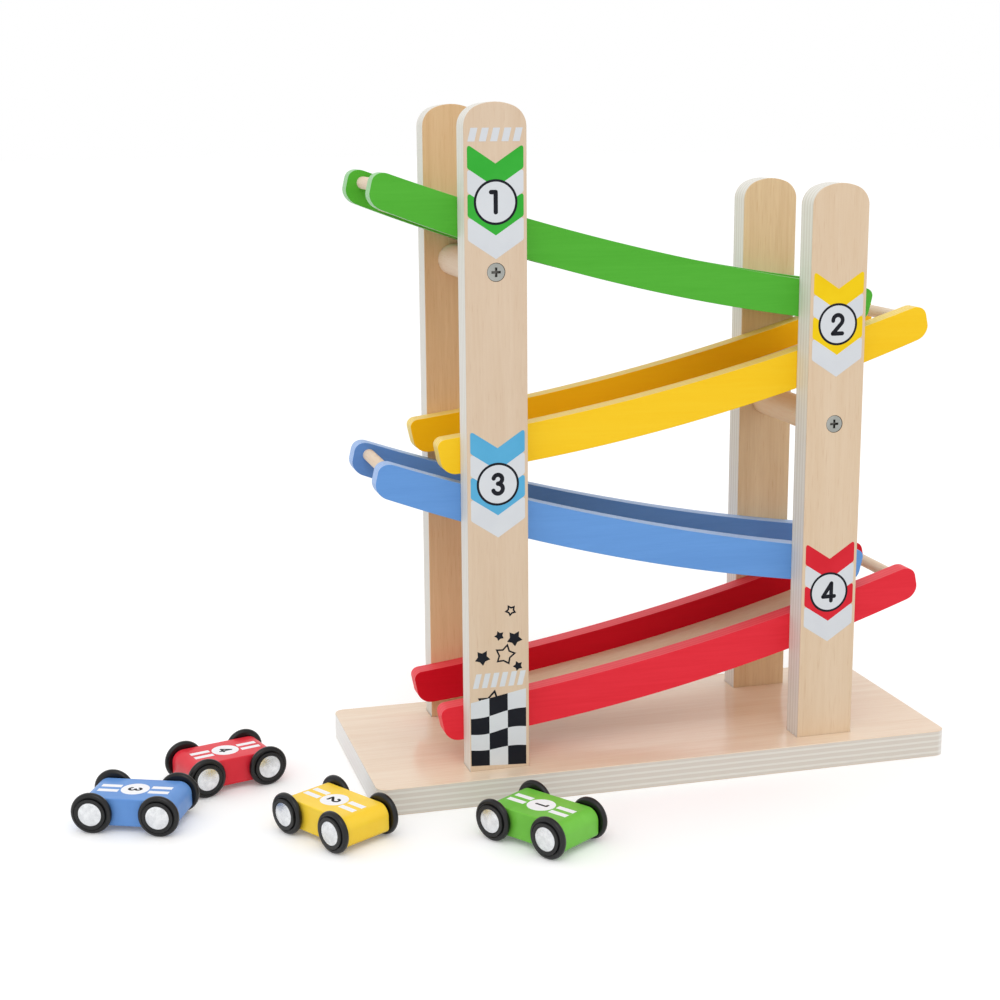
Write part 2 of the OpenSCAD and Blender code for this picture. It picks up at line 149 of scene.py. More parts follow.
class Bench:
    """The modelling operations that every piece is made with."""

    @staticmethod
    def use(obj: Piece) -> None:
        """Make a piece the only selected and the active one.

        Args:
            obj: The piece.
        """
        bpy.ops.object.select_all(action="DESELECT")
        obj.select_set(True)
        bpy.context.view_layer.objects.active = obj

    @staticmethod
    def add(name: str, data: bpy.types.ID) -> Piece:
        """Put new data into the scene.

        Args:
            name: Name of the new object.
            data: Its mesh, curve, camera or lamp.

        Returns:
            The object.
        """
        made = bpy.data.objects.new(name, data)
        bpy.context.scene.collection.objects.link(made)
        return made

    @staticmethod
    def settle(name: str) -> Piece:
        """Name the piece just made and put its place, turn and scale into its mesh.

        Args:
            name: Its name.

        Returns:
            The piece.
        """
        obj = bpy.context.object
        obj.name = name
        obj.data.name = name
        Bench.use(obj)
        bpy.ops.object.transform_apply(location=True, rotation=True, scale=True)
        return obj

    @staticmethod
    def block(name: str, low: Vector, high: Vector) -> Piece:
        """Make a rectangular blank.

        Args:
            name: Name of the piece.
            low: Its lowest corner.
            high: Its highest corner.

        Returns:
            The blank.
        """
        bpy.ops.mesh.primitive_cube_add(size=1.0, location=(low + high) / 2)
        bpy.context.object.scale = high - low
        return Bench.settle(name)

    @staticmethod
    def rod(name: str, radius: float, low: float, high: float, sides: int) -> Piece:
        """Make a round blank about the z axis.

        Args:
            name: Name of the piece.
            radius: Its radius.
            low: Height of its lower end.
            high: Height of its upper end.
            sides: Number of flats that make it round.

        Returns:
            The blank.
        """
        bpy.ops.mesh.primitive_cylinder_add(
            vertices=sides, radius=radius, depth=high - low, location=(0, 0, (low + high) / 2))
        return Bench.settle(name)

    @staticmethod
    def plate(name: str, width: float, height: float) -> Piece:
        """Make a flat rectangle about the origin in the xy plane.

        Args:
            name: Name of the piece.
            width: Its size along x.
            height: Its size along y.

        Returns:
            The rectangle.
        """
        bpy.ops.mesh.primitive_plane_add(size=1.0)
        bpy.context.object.scale = (width, height, 1)
        return Bench.settle(name)

    @staticmethod
    def disc(name: str, radius: float, sides: int) -> Piece:
        """Make a flat disc about the origin in the xy plane."""
        bpy.ops.mesh.primitive_circle_add(vertices=sides, radius=radius, fill_type="NGON")
        return Bench.settle(name)

    @staticmethod
    def shift(obj: Piece, x: float = 0.0, y: float = 0.0, z: float = 0.0) -> None:
        """Move a piece's mesh."""
        obj.data.transform(Matrix.Translation((x, y, z)))

    @staticmethod
    @contextmanager
    def editing(obj: Piece, part: Part, test: Test = lambda corners: True) -> Iterator[None]:
        """Open a mesh with only those elements selected whose corners pass a test.

        Args:
            obj: The piece.
            part: The kind of element.
            test: Takes an element's corners and says if it is wanted.

        Yields:
            Nothing; the mesh is open until the block ends.
        """
        Bench.use(obj)
        mesh = obj.data
        bpy.context.tool_settings.mesh_select_mode = part.value
        for elements in (mesh.vertices, mesh.edges, mesh.polygons):
            elements.foreach_set("select", [False] * len(elements))
        if part is Part.VERTS:
            for vertex in mesh.vertices:
                vertex.select = test([vertex.co])
        else:
            for element in mesh.edges if part is Part.EDGES else mesh.polygons:
                element.select = test([mesh.vertices[i].co for i in element.vertices])
        bpy.ops.object.mode_set(mode="EDIT")
        yield
        bpy.ops.object.mode_set(mode="OBJECT")

    @staticmethod
    def round_edges(obj: Piece, test: Test, radius: float, segments: int) -> None:
        """Round the edges of a piece whose ends pass a test.

        Args:
            obj: The piece.
            test: Takes an edge's ends and says if it is wanted.
            radius: Radius of the rounding.
            segments: Number of facets across it.
        """
        with Bench.editing(obj, Part.EDGES, test):
            bpy.ops.mesh.bevel(offset=radius, offset_type="OFFSET", segments=segments,
                               profile=0.5, affect="EDGES")
            bpy.ops.mesh.select_all(action="SELECT")
            bpy.ops.mesh.remove_doubles(threshold=WELD)

    @staticmethod
    def round_corners(obj: Piece, test: Test, radius: float, segments: int) -> None:
        """Round the corners of a flat shape that pass a test.

        Args:
            obj: The shape.
            test: Takes a corner and says if it is wanted.
            radius: Radius of the rounding.
            segments: Number of lengths along it.
        """
        with Bench.editing(obj, Part.VERTS, test):
            bpy.ops.mesh.bevel(offset=radius, offset_type="OFFSET", segments=segments,
                               profile=0.5, affect="VERTICES")

    @staticmethod
    def slice_along(obj: Piece, places: Sequence[float]) -> None:
        """Cut a mesh into lengths along x, so that it can be bent.

        Args:
            obj: The piece.
            places: Where it is cut.
        """
        with Bench.editing(obj, Part.FACES):
            for place in places:
                bpy.ops.mesh.select_all(action="SELECT")
                bpy.ops.mesh.bisect(plane_co=(place, 0, 0), plane_no=(1, 0, 0))

    @staticmethod
    def extrude(rise: float) -> None:
        """Raise the selected faces of the open mesh with walls round them."""
        bpy.ops.mesh.extrude_region_move(TRANSFORM_OT_translate={"value": (0, 0, rise)})

    @staticmethod
    def step(obj: Piece, up: bool, start: Spot, steps: Sequence[Spot],
             sides: int) -> None:
        """Turn the end of a round blank: each step insets or extrudes its end face.

        Args:
            obj: A round blank about the z axis.
            up: True for the upper end and False for the lower one.
            start: Radius and height of the end face.
            steps: Radius and height of the face after each step.
            sides: Number of flats of the blank.
        """
        way = 1 if up else -1
        radius, height = start
        with Bench.editing(obj, Part.FACES, at_height(height)):
            for next_radius, next_height in steps:
                if radius - next_radius > WELD:
                    apothem = (radius - next_radius) * math.cos(math.pi / sides)
                    bpy.ops.mesh.inset(thickness=apothem, depth=(next_height - height) * way)
                else:
                    Bench.extrude(next_height - height)
                radius, height = next_radius, next_height

    @staticmethod
    def modify(obj: Piece, kind: str, **settings: object) -> None:
        """Change a piece by a modifier and apply it.

        Args:
            obj: The piece.
            kind: Blender's name of the modifier type.
            settings: Values for its properties.
        """
        Bench.use(obj)
        modifier = obj.modifiers.new(kind.lower(), kind)
        for key, value in settings.items():
            setattr(modifier, key, value)
        bpy.ops.object.modifier_apply(modifier=modifier.name)

    @staticmethod
    def cut(obj: Piece, cutter: Piece) -> None:
        """Cut one piece out of another, leave its finish on the cut and throw it away.

        Args:
            obj: The piece that stays.
            cutter: The piece that is cut out of it.
        """
        Bench.modify(obj, "BOOLEAN", operation="DIFFERENCE", solver="EXACT",
                     material_mode="TRANSFER", object=cutter)
        bpy.data.objects.remove(cutter, do_unlink=True)

    @staticmethod
    def soften(obj: Piece, radius: float = 0.0, segments: int = 3) -> None:
        """Sand the sharp arrises of a piece and shade it smooth.

        Args:
            obj: The piece.
            radius: Radius of the arris, or 0 to shade it only.
            segments: Number of facets across an arris.
        """
        if radius > 0:
            Bench.modify(obj, "BEVEL", width=radius, segments=segments,
                         limit_method="ANGLE", angle_limit=ARRIS_ANGLE)
        Bench.use(obj)
        bpy.ops.object.shade_smooth_by_angle(angle=SMOOTH_ANGLE)
        Bench.modify(obj, "WEIGHTED_NORMAL", keep_sharp=True)

    @staticmethod
    def thicken(obj: Piece, depth: float) -> None:
        """Turn a flat shape in the xy plane into a closed film that stands on it.

        Args:
            obj: The shape.
            depth: How far the film stands off the plane.
        """
        with Bench.editing(obj, Part.FACES):
            Bench.extrude(depth + PRINT_ROOT)
            bpy.ops.mesh.select_all(action="SELECT")
            bpy.ops.mesh.normals_make_consistent(inside=False)
        Bench.shift(obj, z=-PRINT_ROOT)

    @staticmethod
    def twin(obj: Piece, name: str, place: Matrix) -> Piece:
        """Copy a piece with its own mesh and put the copy in place.

        Args:
            obj: The piece.
            name: Name of the copy.
            place: Where the copy goes.

        Returns:
            The copy.
        """
        made = Bench.add(name, obj.data.copy())
        made.data.name = name
        made.data.transform(place)
        return made

    @staticmethod
    def join(name: str, pieces: Sequence[Piece]) -> Piece:
        """Join several pieces into one.

        Args:
            name: Name of the whole.
            pieces: The pieces, of which the first one stays.

        Returns:
            The whole.
        """
        Bench.use(pieces[0])
        for piece in pieces:
            piece.select_set(True)
        bpy.ops.object.join()
        pieces[0].name = name
        pieces[0].data.name = name
        return pieces[0]

    @staticmethod
    def hand_over(obj: Piece, body: str, nodes: Sequence[str] = (), slot: str = "") -> None:
        """Let a finished piece ride on its body and stand for its CAD nodes.

        Args:
            obj: The piece, in place.
            body: The CAD body that it moves with.
            nodes: The CAD nodes that it stands for.
            slot: The record's material slot, where it has one; not used.
        """
        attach(obj, body)
        if nodes:
            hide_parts(*nodes)
        LOG.info("%s rides on %s with %d faces", obj.name, body, len(obj.data.polygons))


class Graph:
    """Adds and joins the nodes of one shader tree."""

    def __init__(self, tree: Tree) -> None:
        """Start on a tree."""
        self.tree = tree

    def feed(self, node: Node, inputs: Inputs) -> None:
        """Set a node's inputs to values or link them to sockets.

        Args:
            node: The node.
            inputs: Values or sockets by the inputs' names or numbers.
        """
        for key, value in inputs.items():
            if isinstance(value, Socket):
                self.tree.links.new(value, node.inputs[key])
            else:
                node.inputs[key].default_value = value

    def node(self, kind: str, inputs: Inputs, **settings: object) -> Node:
        """Add a node.

        Args:
            kind: Blender's name of the node type.
            inputs: Values or sockets for its inputs.
            settings: Values for its properties.

        Returns:
            The node.
        """
        made = self.tree.nodes.new(kind)
        for key, value in settings.items():
            setattr(made, key, value)
        self.feed(made, inputs)
        return made

    def effect(self, tree: Tree, inputs: Inputs) -> Sockets:
        """Place a shared effect and give what it puts out."""
        return self.node("ShaderNodeGroup", inputs, node_tree=tree).outputs

    def place(self) -> Socket:
        """Give the place on the piece, in the object's frame."""
        return self.node("ShaderNodeTexCoord", {}).outputs["Object"]

    def math(self, operation: str, first: Value, second: Value = 0.0) -> Socket:
        """Join one or two numbers by a sum of the named kind."""
        return self.node("ShaderNodeMath", {0: first, 1: second}, operation=operation).outputs[0]

    def spread(self, value: Socket, low: float, high: float, to_low: float = 0.0,
               to_high: float = 1.0) -> Socket:
        """Map a number from one range to another and keep it inside."""
        inputs = {"Value": value, "From Min": low, "From Max": high,
                  "To Min": to_low, "To Max": to_high}
        return self.node("ShaderNodeMapRange", inputs, clamp=True).outputs["Result"]

    def blend(self, factor: Value, first: Value, second: Value, mode: str = "MIX") -> Socket:
        """Mix two colours."""
        inputs = {0: factor, 6: first, 7: second}
        return self.node("ShaderNodeMix", inputs, data_type="RGBA", blend_type=mode).outputs[2]

    def noise(self, vector: Socket, scale: float, detail: float, roughness: float = 0.5) -> Socket:
        """Add a noise texture and give its strength."""
        inputs = {"Vector": vector, "Scale": scale, "Detail": detail, "Roughness": roughness}
        return self.node("ShaderNodeTexNoise", inputs).outputs[0]

    def bump(self, strength: float, distance: float, height: Socket) -> Socket:
        """Give the surface direction that a height disturbs."""
        inputs = {"Strength": strength, "Distance": distance, "Height": height}
        return self.node("ShaderNodeBump", inputs).outputs[0]

    def seen(self) -> Socket:
        """Give 1 for rays that show the backdrop itself, or its reflection, and 0 for light.

        Returns:
            The number's socket.
        """
        rays = self.node("ShaderNodeLightPath", {}).outputs
        mirrored = self.math("MAXIMUM", rays["Is Glossy Ray"], rays["Is Transmission Ray"])
        return self.math("MAXIMUM", rays["Is Camera Ray"], mirrored)


class Effects:
    """Shader effects that several finishes share, each built once as a node group."""

    NUMBER = "NodeSocketFloat"
    VECTOR = "NodeSocketVector"
    FACE_SOLID = 0.1 * MM
    FACE_FADED = 0.45 * MM
    PLY_WANDER = 0.35 * MM
    BROAD_SHARE = 0.55
    STREAK_SHARE = 0.45
    PORE_HEIGHT = 0.6

    @staticmethod
    def _group(name: str, takes: dict[str, str],
               gives: Sequence[str]) -> tuple[Graph, Sockets, Node]:
        """Start a node group with named sockets.

        Args:
            name: Name of the group.
            takes: Names and socket types of its inputs.
            gives: Names of the numbers that it puts out.

        Returns:
            The tree's graph, the sockets of its inputs and its output node.
        """
        tree = bpy.data.node_groups.new(name, "ShaderNodeTree")
        for socket, kind in takes.items():
            tree.interface.new_socket(socket, in_out="INPUT", socket_type=kind)
        for socket in gives:
            tree.interface.new_socket(socket, in_out="OUTPUT", socket_type=Effects.NUMBER)
        graph = Graph(tree)
        taken = graph.node("NodeGroupInput", {}).outputs
        return graph, taken, graph.node("NodeGroupOutput", {})

    @staticmethod
    @cache
    def grain() -> Tree:
        """Wood grain on squeezed coordinates: broad tone, short flecks and pore height.

        Returns:
            The node group.
        """
        graph, takes, gives = Effects._group(
            "wood_grain", {"Vector": Effects.VECTOR}, ["Tone", "Fleck", "Height"])
        broad = graph.noise(takes["Vector"], scale=0.35, detail=3.0, roughness=0.6)
        streaks = graph.noise(takes["Vector"], scale=2.6, detail=3.0, roughness=0.65)
        pores = graph.noise(takes["Vector"], scale=7.0, detail=2.0, roughness=0.5)
        mixed = graph.math("ADD", graph.math("MULTIPLY", broad, Effects.BROAD_SHARE),
                           graph.math("MULTIPLY", streaks, Effects.STREAK_SHARE))
        raised = graph.math("MULTIPLY", pores, Effects.PORE_HEIGHT)
        graph.feed(gives, {
            "Tone": graph.spread(mixed, low=0.34, high=0.66),
            "Fleck": graph.spread(pores, low=0.6, high=0.72),
            "Height": graph.math("ADD", streaks, raised),
        })
        return graph.tree

    @staticmethod
    @cache
    def plies() -> Tree:
        """Layers of a plywood edge by depth from its middle, with thin glue lines.

        Returns:
            The node group.
        """
        takes = {"Depth": Effects.NUMBER, "Ply": Effects.NUMBER, "Vector": Effects.VECTOR}
        graph, takes, gives = Effects._group("ply_layers", takes, ["Layer", "Glue"])
        wander = graph.noise(takes["Vector"], scale=90.0, detail=2.0)
        uneven = graph.math("MULTIPLY", graph.math("SUBTRACT", wander, 0.5), Effects.PLY_WANDER)
        depth = graph.math("ADD", takes["Depth"], uneven)
        turn = graph.math("MULTIPLY", graph.math("DIVIDE", depth, takes["Ply"]), math.pi)
        wave = graph.math("COSINE", turn)
        graph.feed(gives, {
            "Layer": graph.spread(wave, low=0.0, high=-0.75),
            "Glue": graph.spread(graph.math("ABSOLUTE", wave), low=0.25, high=0.0),
        })
        return graph.tree

    @staticmethod
    @cache
    def board_face() -> Tree:
        """Tells a board's faces, 1, from its edges, 0, by depth from its middle.

        Returns:
            The node group.
        """
        graph, takes, gives = Effects._group(
            "board_face", {"Depth": Effects.NUMBER, "Half": Effects.NUMBER}, ["Face"])
        depth = graph.math("ABSOLUTE", takes["Depth"])
        short = graph.math("SUBTRACT", takes["Half"], depth)
        graph.feed(gives, {"Face": graph.spread(short, Effects.FACE_FADED, Effects.FACE_SOLID)})
        return graph.tree

    @staticmethod
    @cache
    def mottle() -> Tree:
        """Soft cloudy unevenness of paint and moulded plastic, with a fine skin for bump.

        Returns:
            The node group.
        """
        graph, takes, gives = Effects._group(
            "mottle", {"Vector": Effects.VECTOR}, ["Cloud", "Skin"])
        cloud = graph.noise(takes["Vector"], scale=70.0, detail=3.0, roughness=0.55)
        skin = graph.noise(takes["Vector"], scale=900.0, detail=2.0, roughness=0.6)
        graph.feed(gives, {"Cloud": graph.spread(cloud, low=0.35, high=0.65), "Skin": skin})
        return graph.tree


class Finish:
    """Base of all finishes: a material with one Principled shader that the finish wires."""

    name: str

    @cache
    def material(self) -> bpy.types.Material:
        """Give this finish's material, made on first use.

        Returns:
            The material.
        """
        made = bpy.data.materials.new(self.name)
        made.use_nodes = True
        self.wire(Graph(made.node_tree), made.node_tree.nodes["Principled BSDF"])
        return made

    def wire(self, graph: Graph, shader: Node) -> None:
        """Set the shader's plain values and link its patterns.

        Args:
            graph: The material's graph.
            shader: Its Principled shader.
        """
        raise NotImplementedError

    def dress(self, obj: Piece) -> None:
        """Give a whole piece this finish."""
        obj.data.materials.clear()
        obj.data.materials.append(self.material())


@dataclass(frozen=True, kw_only=True)
class WoodFinish(Finish):
    """Wood with grain and flecks.

    Attributes:
        light: Lighter colour of the grain.
        dark: Darker colour of the grain.
        squeeze: Grain scale along x, y and z.
        shift: Offset of the grain, so that pieces differ.
        fleck: Strength of the dark flecks.
        roughness: Roughness of the wood or of its coat.
        relief: Strength of the grain's bump.
        specular: Strength of the reflections.
    """

    name: str
    light: Colour
    dark: Colour
    squeeze: Triple
    shift: Triple = (0.0, 0.0, 0.0)
    fleck: float = 0.25
    roughness: float = 0.48
    relief: float = 0.05
    specular: float = 0.2

    RELIEF_DEPTH = 0.4 * MM

    def wire(self, graph: Graph, shader: Node) -> None:
        """Set the shader's plain values and link its patterns.

        Args:
            graph: The material's graph.
            shader: Its Principled shader.
        """
        place = graph.place()
        mapping = {0: place, 1: self.shift, 3: self.squeeze}
        squeezed = graph.node("ShaderNodeMapping", mapping).outputs[0]
        grain = graph.effect(Effects.grain(), {"Vector": squeezed})
        toned = graph.blend(grain["Tone"], self.dark, self.light)
        fleck = graph.math("MULTIPLY", grain["Fleck"], self.fleck)
        wood = graph.blend(fleck, toned, self.dark, "MULTIPLY")
        colour, roughness = self.surface(graph, place, grain["Tone"], wood)
        graph.feed(shader, {
            "Base Color": colour,
            "Roughness": roughness,
            "Normal": graph.bump(self.relief, self.RELIEF_DEPTH, grain["Height"]),
            "Specular IOR Level": self.specular,
        })

    def surface(self, graph: Graph, place: Socket, tone: Socket,
                wood: Socket) -> tuple[Value, Value]:
        """Give the colour and the roughness of the surface.

        Args:
            graph: The material's graph.
            place: The place on the piece.
            tone: The grain's broad tone.
            wood: Colour of the grained wood.

        Returns:
            The colour and the roughness.
        """
        return wood, self.roughness


@dataclass(frozen=True, kw_only=True)
class BoardFinish(WoodFinish):
    """A plywood board: grained or painted faces and layered edges.

    Attributes:
        pale_ply: Lighter colour of the edge's layers.
        dark_ply: Darker colour of the edge's layers.
        through: The axis through the board's thickness.
        middle: Place of the board's middle along it; both sides of the track mirror it.
        half: Half of the thickness.
        ply: Thickness of one layer.
        edge_roughness: Least roughness of the cut edges.
        inner: Painted shade and painted bounce light, multiplied into the face that is turned to the
            track's middle.
        plain_from: Distance from the middle of the track's length where plain edges begin.
        pale_end_and_painted_light: Colour of those plain edges: pale unstriped ply, lightened further
            as painted light.
    """

    pale_ply: Colour
    dark_ply: Colour
    through: Axis
    middle: float
    half: float
    ply: float
    edge_roughness: float = 0.5
    inner: Colour = WHITE
    plain_from: float = 1.0
    pale_end_and_painted_light: Colour = WHITE

    GLUE = 0.12
    END_FADE = 4.0 * MM
    END_SHARE = 0.8
    DARK_GRAIN_DULLER = 0.06
    LIGHT_GRAIN_SMOOTHER = 0.04

    def surface(self, graph: Graph, place: Socket, tone: Socket,
                wood: Socket) -> tuple[Value, Value]:
        """Give the colour and the roughness of the faces and the layered edges.

        Args:
            graph: The material's graph.
            place: The place on the piece.
            tone: The grain's broad tone.
            wood: Colour of the grained wood.

        Returns:
            The colour and the roughness.
        """
        parts = graph.node("ShaderNodeSeparateXYZ", {0: place}).outputs
        along = parts[self.through.value]
        if self.through is Axis.Y:
            along = graph.math("ABSOLUTE", along)
        depth = graph.math("SUBTRACT", along, self.middle)
        face = graph.effect(Effects.board_face(), {"Depth": depth, "Half": self.half})["Face"]
        # Painted shade: the inner face of a board is darkened and takes its neighbour's bounce
        # colour.
        inner_shade_mask = graph.spread(
            depth, Effects.FACE_FADED - self.half, Effects.FACE_SOLID - self.half)
        inner_shaded = graph.blend(inner_shade_mask, wood, self.inner, "MULTIPLY")
        plies = graph.effect(
            Effects.plies(), {"Depth": depth, "Ply": self.ply, "Vector": place})
        layered = graph.blend(plies["Layer"], self.dark_ply, self.pale_ply)
        glue = graph.math("MULTIPLY", plies["Glue"], self.GLUE)
        edge = graph.blend(glue, layered, self.dark_ply, "MULTIPLY")
        # Past plain_from the edges turn near white: pale ply, partly painted light.
        reach = graph.math("ABSOLUTE", parts["X"])
        end = graph.spread(reach, self.plain_from, self.plain_from + self.END_FADE)
        ended = graph.blend(graph.math("MULTIPLY", end, self.END_SHARE), edge, self.pale_end_and_painted_light)
        sheen = graph.spread(tone, 0.0, 1.0, self.roughness + self.DARK_GRAIN_DULLER,
                             self.roughness - self.LIGHT_GRAIN_SMOOTHER)
        cut = graph.spread(face, 0.0, 1.0, self.edge_roughness, 0.0)
        return graph.blend(face, ended, inner_shaded), graph.math("MAXIMUM", sheen, cut)


@dataclass(frozen=True)
class CoatFinish(Finish):
    """A smooth opaque coat, such as car paint, ink or moulded plastic, or bare metal.

    Attributes:
        colour: Main colour.
        cloud: Colour of its uneven patches.
        roughness: Roughness of the coat.
        skin: Strength of its bump.
        gloss: Weight of a clear coat over it.
        metal: True for bare metal.
        specular: Strength of its reflections, unless it is metal.
        fineness: How many times finer than usual its patches are.
    """

    name: str
    colour: Colour
    cloud: Colour
    roughness: float
    skin: float = 0.03
    gloss: float = 0.0
    metal: bool = False
    specular: float = 0.15
    fineness: float = 1.0

    SKIN_DEPTH = 0.2 * MM
    CLOUD_DULLER = 1.25
    GLOSS_ROUGHNESS = 0.15
    METAL_SPECULAR = 0.5

    def wire(self, graph: Graph, shader: Node) -> None:
        """Set the shader's plain values and link its patterns.

        Args:
            graph: The material's graph.
            shader: Its Principled shader.
        """
        scaled = {0: graph.place(), 3: self.fineness}
        finer = graph.node("ShaderNodeVectorMath", scaled, operation="SCALE").outputs[0]
        mottle = graph.effect(Effects.mottle(), {"Vector": finer})
        cloud = mottle["Cloud"]
        dull = self.roughness * self.CLOUD_DULLER
        graph.feed(shader, {
            "Base Color": graph.blend(cloud, self.colour, self.cloud),
            "Roughness": graph.spread(cloud, 0.0, 1.0, self.roughness, dull),
            "Normal": graph.bump(self.skin, self.SKIN_DEPTH, mottle["Skin"]),
            "Coat Weight": self.gloss,
            "Coat Roughness": self.GLOSS_ROUGHNESS,
            "Metallic": 1.0 if self.metal else 0.0,
            "Specular IOR Level": self.METAL_SPECULAR if self.metal else self.specular,
        })


@dataclass(frozen=True)
class FloorFinish(Finish):
    """A studio floor that looks white, lights the toy a little less and keeps its shadow.

    Attributes:
        lit: Colour that lights the toy.
        shown: Colour as seen.
        glow: Light that lifts it to white where it is seen.
    """

    name: str = "studio_floor"
    lit: Colour = (0.72, 0.73, 0.75, 1.0)
    shown: Colour = (0.99, 0.99, 0.99, 1.0)
    glow: float = 0.11

    def wire(self, graph: Graph, shader: Node) -> None:
        """Set the shader's plain values and link its patterns.

        Args:
            graph: The material's graph.
            shader: Its Principled shader.
        """
        seen = graph.seen()
        graph.feed(shader, {
            "Base Color": graph.blend(seen, self.lit, self.shown),
            "Roughness": 1.0,
            "Specular IOR Level": 0.0,
            "Emission Color": WHITE,
            "Emission Strength": graph.spread(seen, 0.0, 1.0, 0.0, self.glow),
        })


GRAIN_UP = (330.0, 330.0, 15.0)
GRAIN_ALONG = (15.0, 330.0, 330.0)
GRAIN_ACROSS = (420.0, 24.0, 420.0)


def post_ply(name: str, shift: float, light: Colour, dark: Colour) -> BoardFinish:
    """Plywood of one post, with its own stretch of grain.

    Args:
        name: Name of the finish.
        shift: Offset of its grain.
        light: Lighter colour of the faces.
        dark: Darker colour of the faces.

    Returns:
        The finish.
    """
    return BoardFinish(
        name=name, light=light, dark=dark, pale_ply=srgb(236, 234, 227),
        dark_ply=srgb(225, 221, 212), through=Axis.Y, middle=RAMP_HALF + BOARD / 2,
        half=BOARD / 2, ply=BOARD / BOARD_PLIES, squeeze=GRAIN_UP, shift=(shift, shift, shift))


def ramp_paint(name: str, face: Colour, shade: Colour, edge: Colour, dark_edge: Colour,
               inner: Colour) -> BoardFinish:
    """Paint of a ramp's rails: full outside, deeper inside as painted shade and bounce light, paler
    on the layered edges.

    Args:
        name: Name of the finish.
        face: Lighter colour of the faces.
        shade: Darker colour of the faces.
        edge: Lighter colour of the edge's layers.
        dark_edge: Darker colour of the edge's layers.
        inner: Painted shade and painted bounce light, multiplied into the inner faces.

    Returns:
        The finish.
    """
    return BoardFinish(
        name=name, light=face, dark=shade, pale_ply=edge, dark_ply=dark_edge, through=Axis.Y,
        middle=RAMP_HALF - RAIL / 2, half=RAIL / 2, ply=RAIL / RAIL_PLIES, squeeze=GRAIN_ALONG,
        fleck=0.06, roughness=0.42, relief=0.03, inner=inner)


def dowel_wood(name: str, light: Colour, dark: Colour) -> WoodFinish:
    """Plain turned wood with its grain across the track."""
    return WoodFinish(name=name, light=light, dark=dark, squeeze=GRAIN_ACROSS, fleck=0.35,
                      roughness=0.55, relief=0.08)


def car_paint(name: str, colour: Colour, cloud: Colour) -> CoatFinish:
    """Satin paint of a car's body."""
    return CoatFinish(name, colour, cloud, roughness=0.38, gloss=0.25)


def ink(name: str, colour: Colour, cloud: Colour) -> CoatFinish:
    """A matt printing ink."""
    return CoatFinish(name, colour, cloud, roughness=0.5, skin=0.08)


# The base board's end faces are pale ply lightened with painted light.
BASE_PLY = BoardFinish(
    name="base_birch_ply", light=srgb(243, 225, 202), dark=srgb(234, 209, 182),
    pale_ply=srgb(231, 226, 216), dark_ply=srgb(219, 210, 198), through=Axis.Z,
    middle=BOARD / 2, half=BOARD / 2, ply=BOARD / BOARD_PLIES, squeeze=GRAIN_ALONG, fleck=0.2,
    roughness=0.16, relief=0.01, specular=0.35, plain_from=129.0 * MM,
    pale_end_and_painted_light=srgb(253, 252, 249))
POST_PLIES = {
    (Side.LEFT, Face.FRONT): post_ply(
        "front_left_post_ply", 0.0, srgb(225, 202, 176), srgb(218, 192, 164)),
    (Side.LEFT, Face.REAR): post_ply(
        "rear_left_post_ply", 3.7, srgb(231, 196, 154), srgb(219, 180, 136)),
    (Side.RIGHT, Face.FRONT): post_ply(
        "front_right_post_ply", 7.1, srgb(229, 205, 176), srgb(222, 195, 163)),
    (Side.RIGHT, Face.REAR): post_ply(
        "rear_right_post_ply", 11.9, srgb(234, 207, 168), srgb(220, 188, 147)),
}
FLOOR_PLY = BoardFinish(
    name="ramp_floor_ply", light=srgb(236, 213, 184), dark=srgb(224, 194, 160),
    pale_ply=srgb(235, 220, 198), dark_ply=srgb(205, 180, 150), through=Axis.Z, middle=0.0,
    half=0.0, ply=1.0 * MM, squeeze=GRAIN_ALONG)
DOWEL_WOOD = dowel_wood("dowel_birch", srgb(238, 219, 198), srgb(226, 200, 172))
# Painted light: this dowel wood is made lighter to lift the right spreader out of the shade between
# the posts.
PAINTED_LIGHT_DOWEL_WOOD = dowel_wood("bright_dowel_birch", srgb(255, 230, 196), srgb(248, 214, 174))
# Each ramp paint's last colour is painted shade and bounce light for the rails' inner faces.
RAMP_PAINTS = {
    "green": ramp_paint("green_rail_paint", srgb(86, 182, 54), srgb(78, 174, 46),
                        srgb(170, 216, 165), srgb(152, 206, 148), (0.94, 0.97, 0.8, 1.0)),
    "yellow": ramp_paint("yellow_rail_paint", srgb(255, 209, 34), srgb(253, 203, 20),
                         srgb(252, 226, 140), srgb(248, 214, 110), (1.0, 0.86, 0.1, 1.0)),
    "blue": ramp_paint("blue_rail_paint", srgb(106, 159, 224), srgb(99, 151, 216),
                       srgb(172, 200, 243), srgb(158, 189, 237), (0.84, 0.8, 0.87, 1.0)),
    "red": ramp_paint("red_rail_paint", srgb(236, 46, 62), srgb(228, 36, 52),
                      srgb(246, 84, 94), srgb(241, 72, 82), (0.8, 0.04, 0.36, 1.0)),
}
CAR_PAINTS = {
    "blue": car_paint("blue_body_paint", srgb(105, 156, 223), srgb(99, 149, 217)),
    "red": car_paint("red_body_paint", srgb(234, 48, 64), srgb(227, 42, 58)),
    "yellow": car_paint("yellow_body_paint", srgb(255, 217, 64), srgb(254, 211, 56)),
    "green": car_paint("green_body_paint", srgb(120, 202, 72), srgb(112, 194, 64)),
}
TYRE = CoatFinish("tyre_plastic", srgb(9, 9, 11), srgb(6, 6, 8), 0.28, skin=0.1, specular=0.45)
HUB = CoatFinish("hub_silver", srgb(232, 234, 236), srgb(212, 214, 217), 0.2, skin=0.22,
                 metal=True, fineness=6.0)
AXLE = CoatFinish("axle_wire", srgb(196, 196, 198), srgb(176, 176, 180), 0.3, metal=True)
SCREW = CoatFinish("screw_zinc", srgb(176, 178, 173), srgb(156, 158, 153), 0.32, skin=0.1,
                   metal=True)
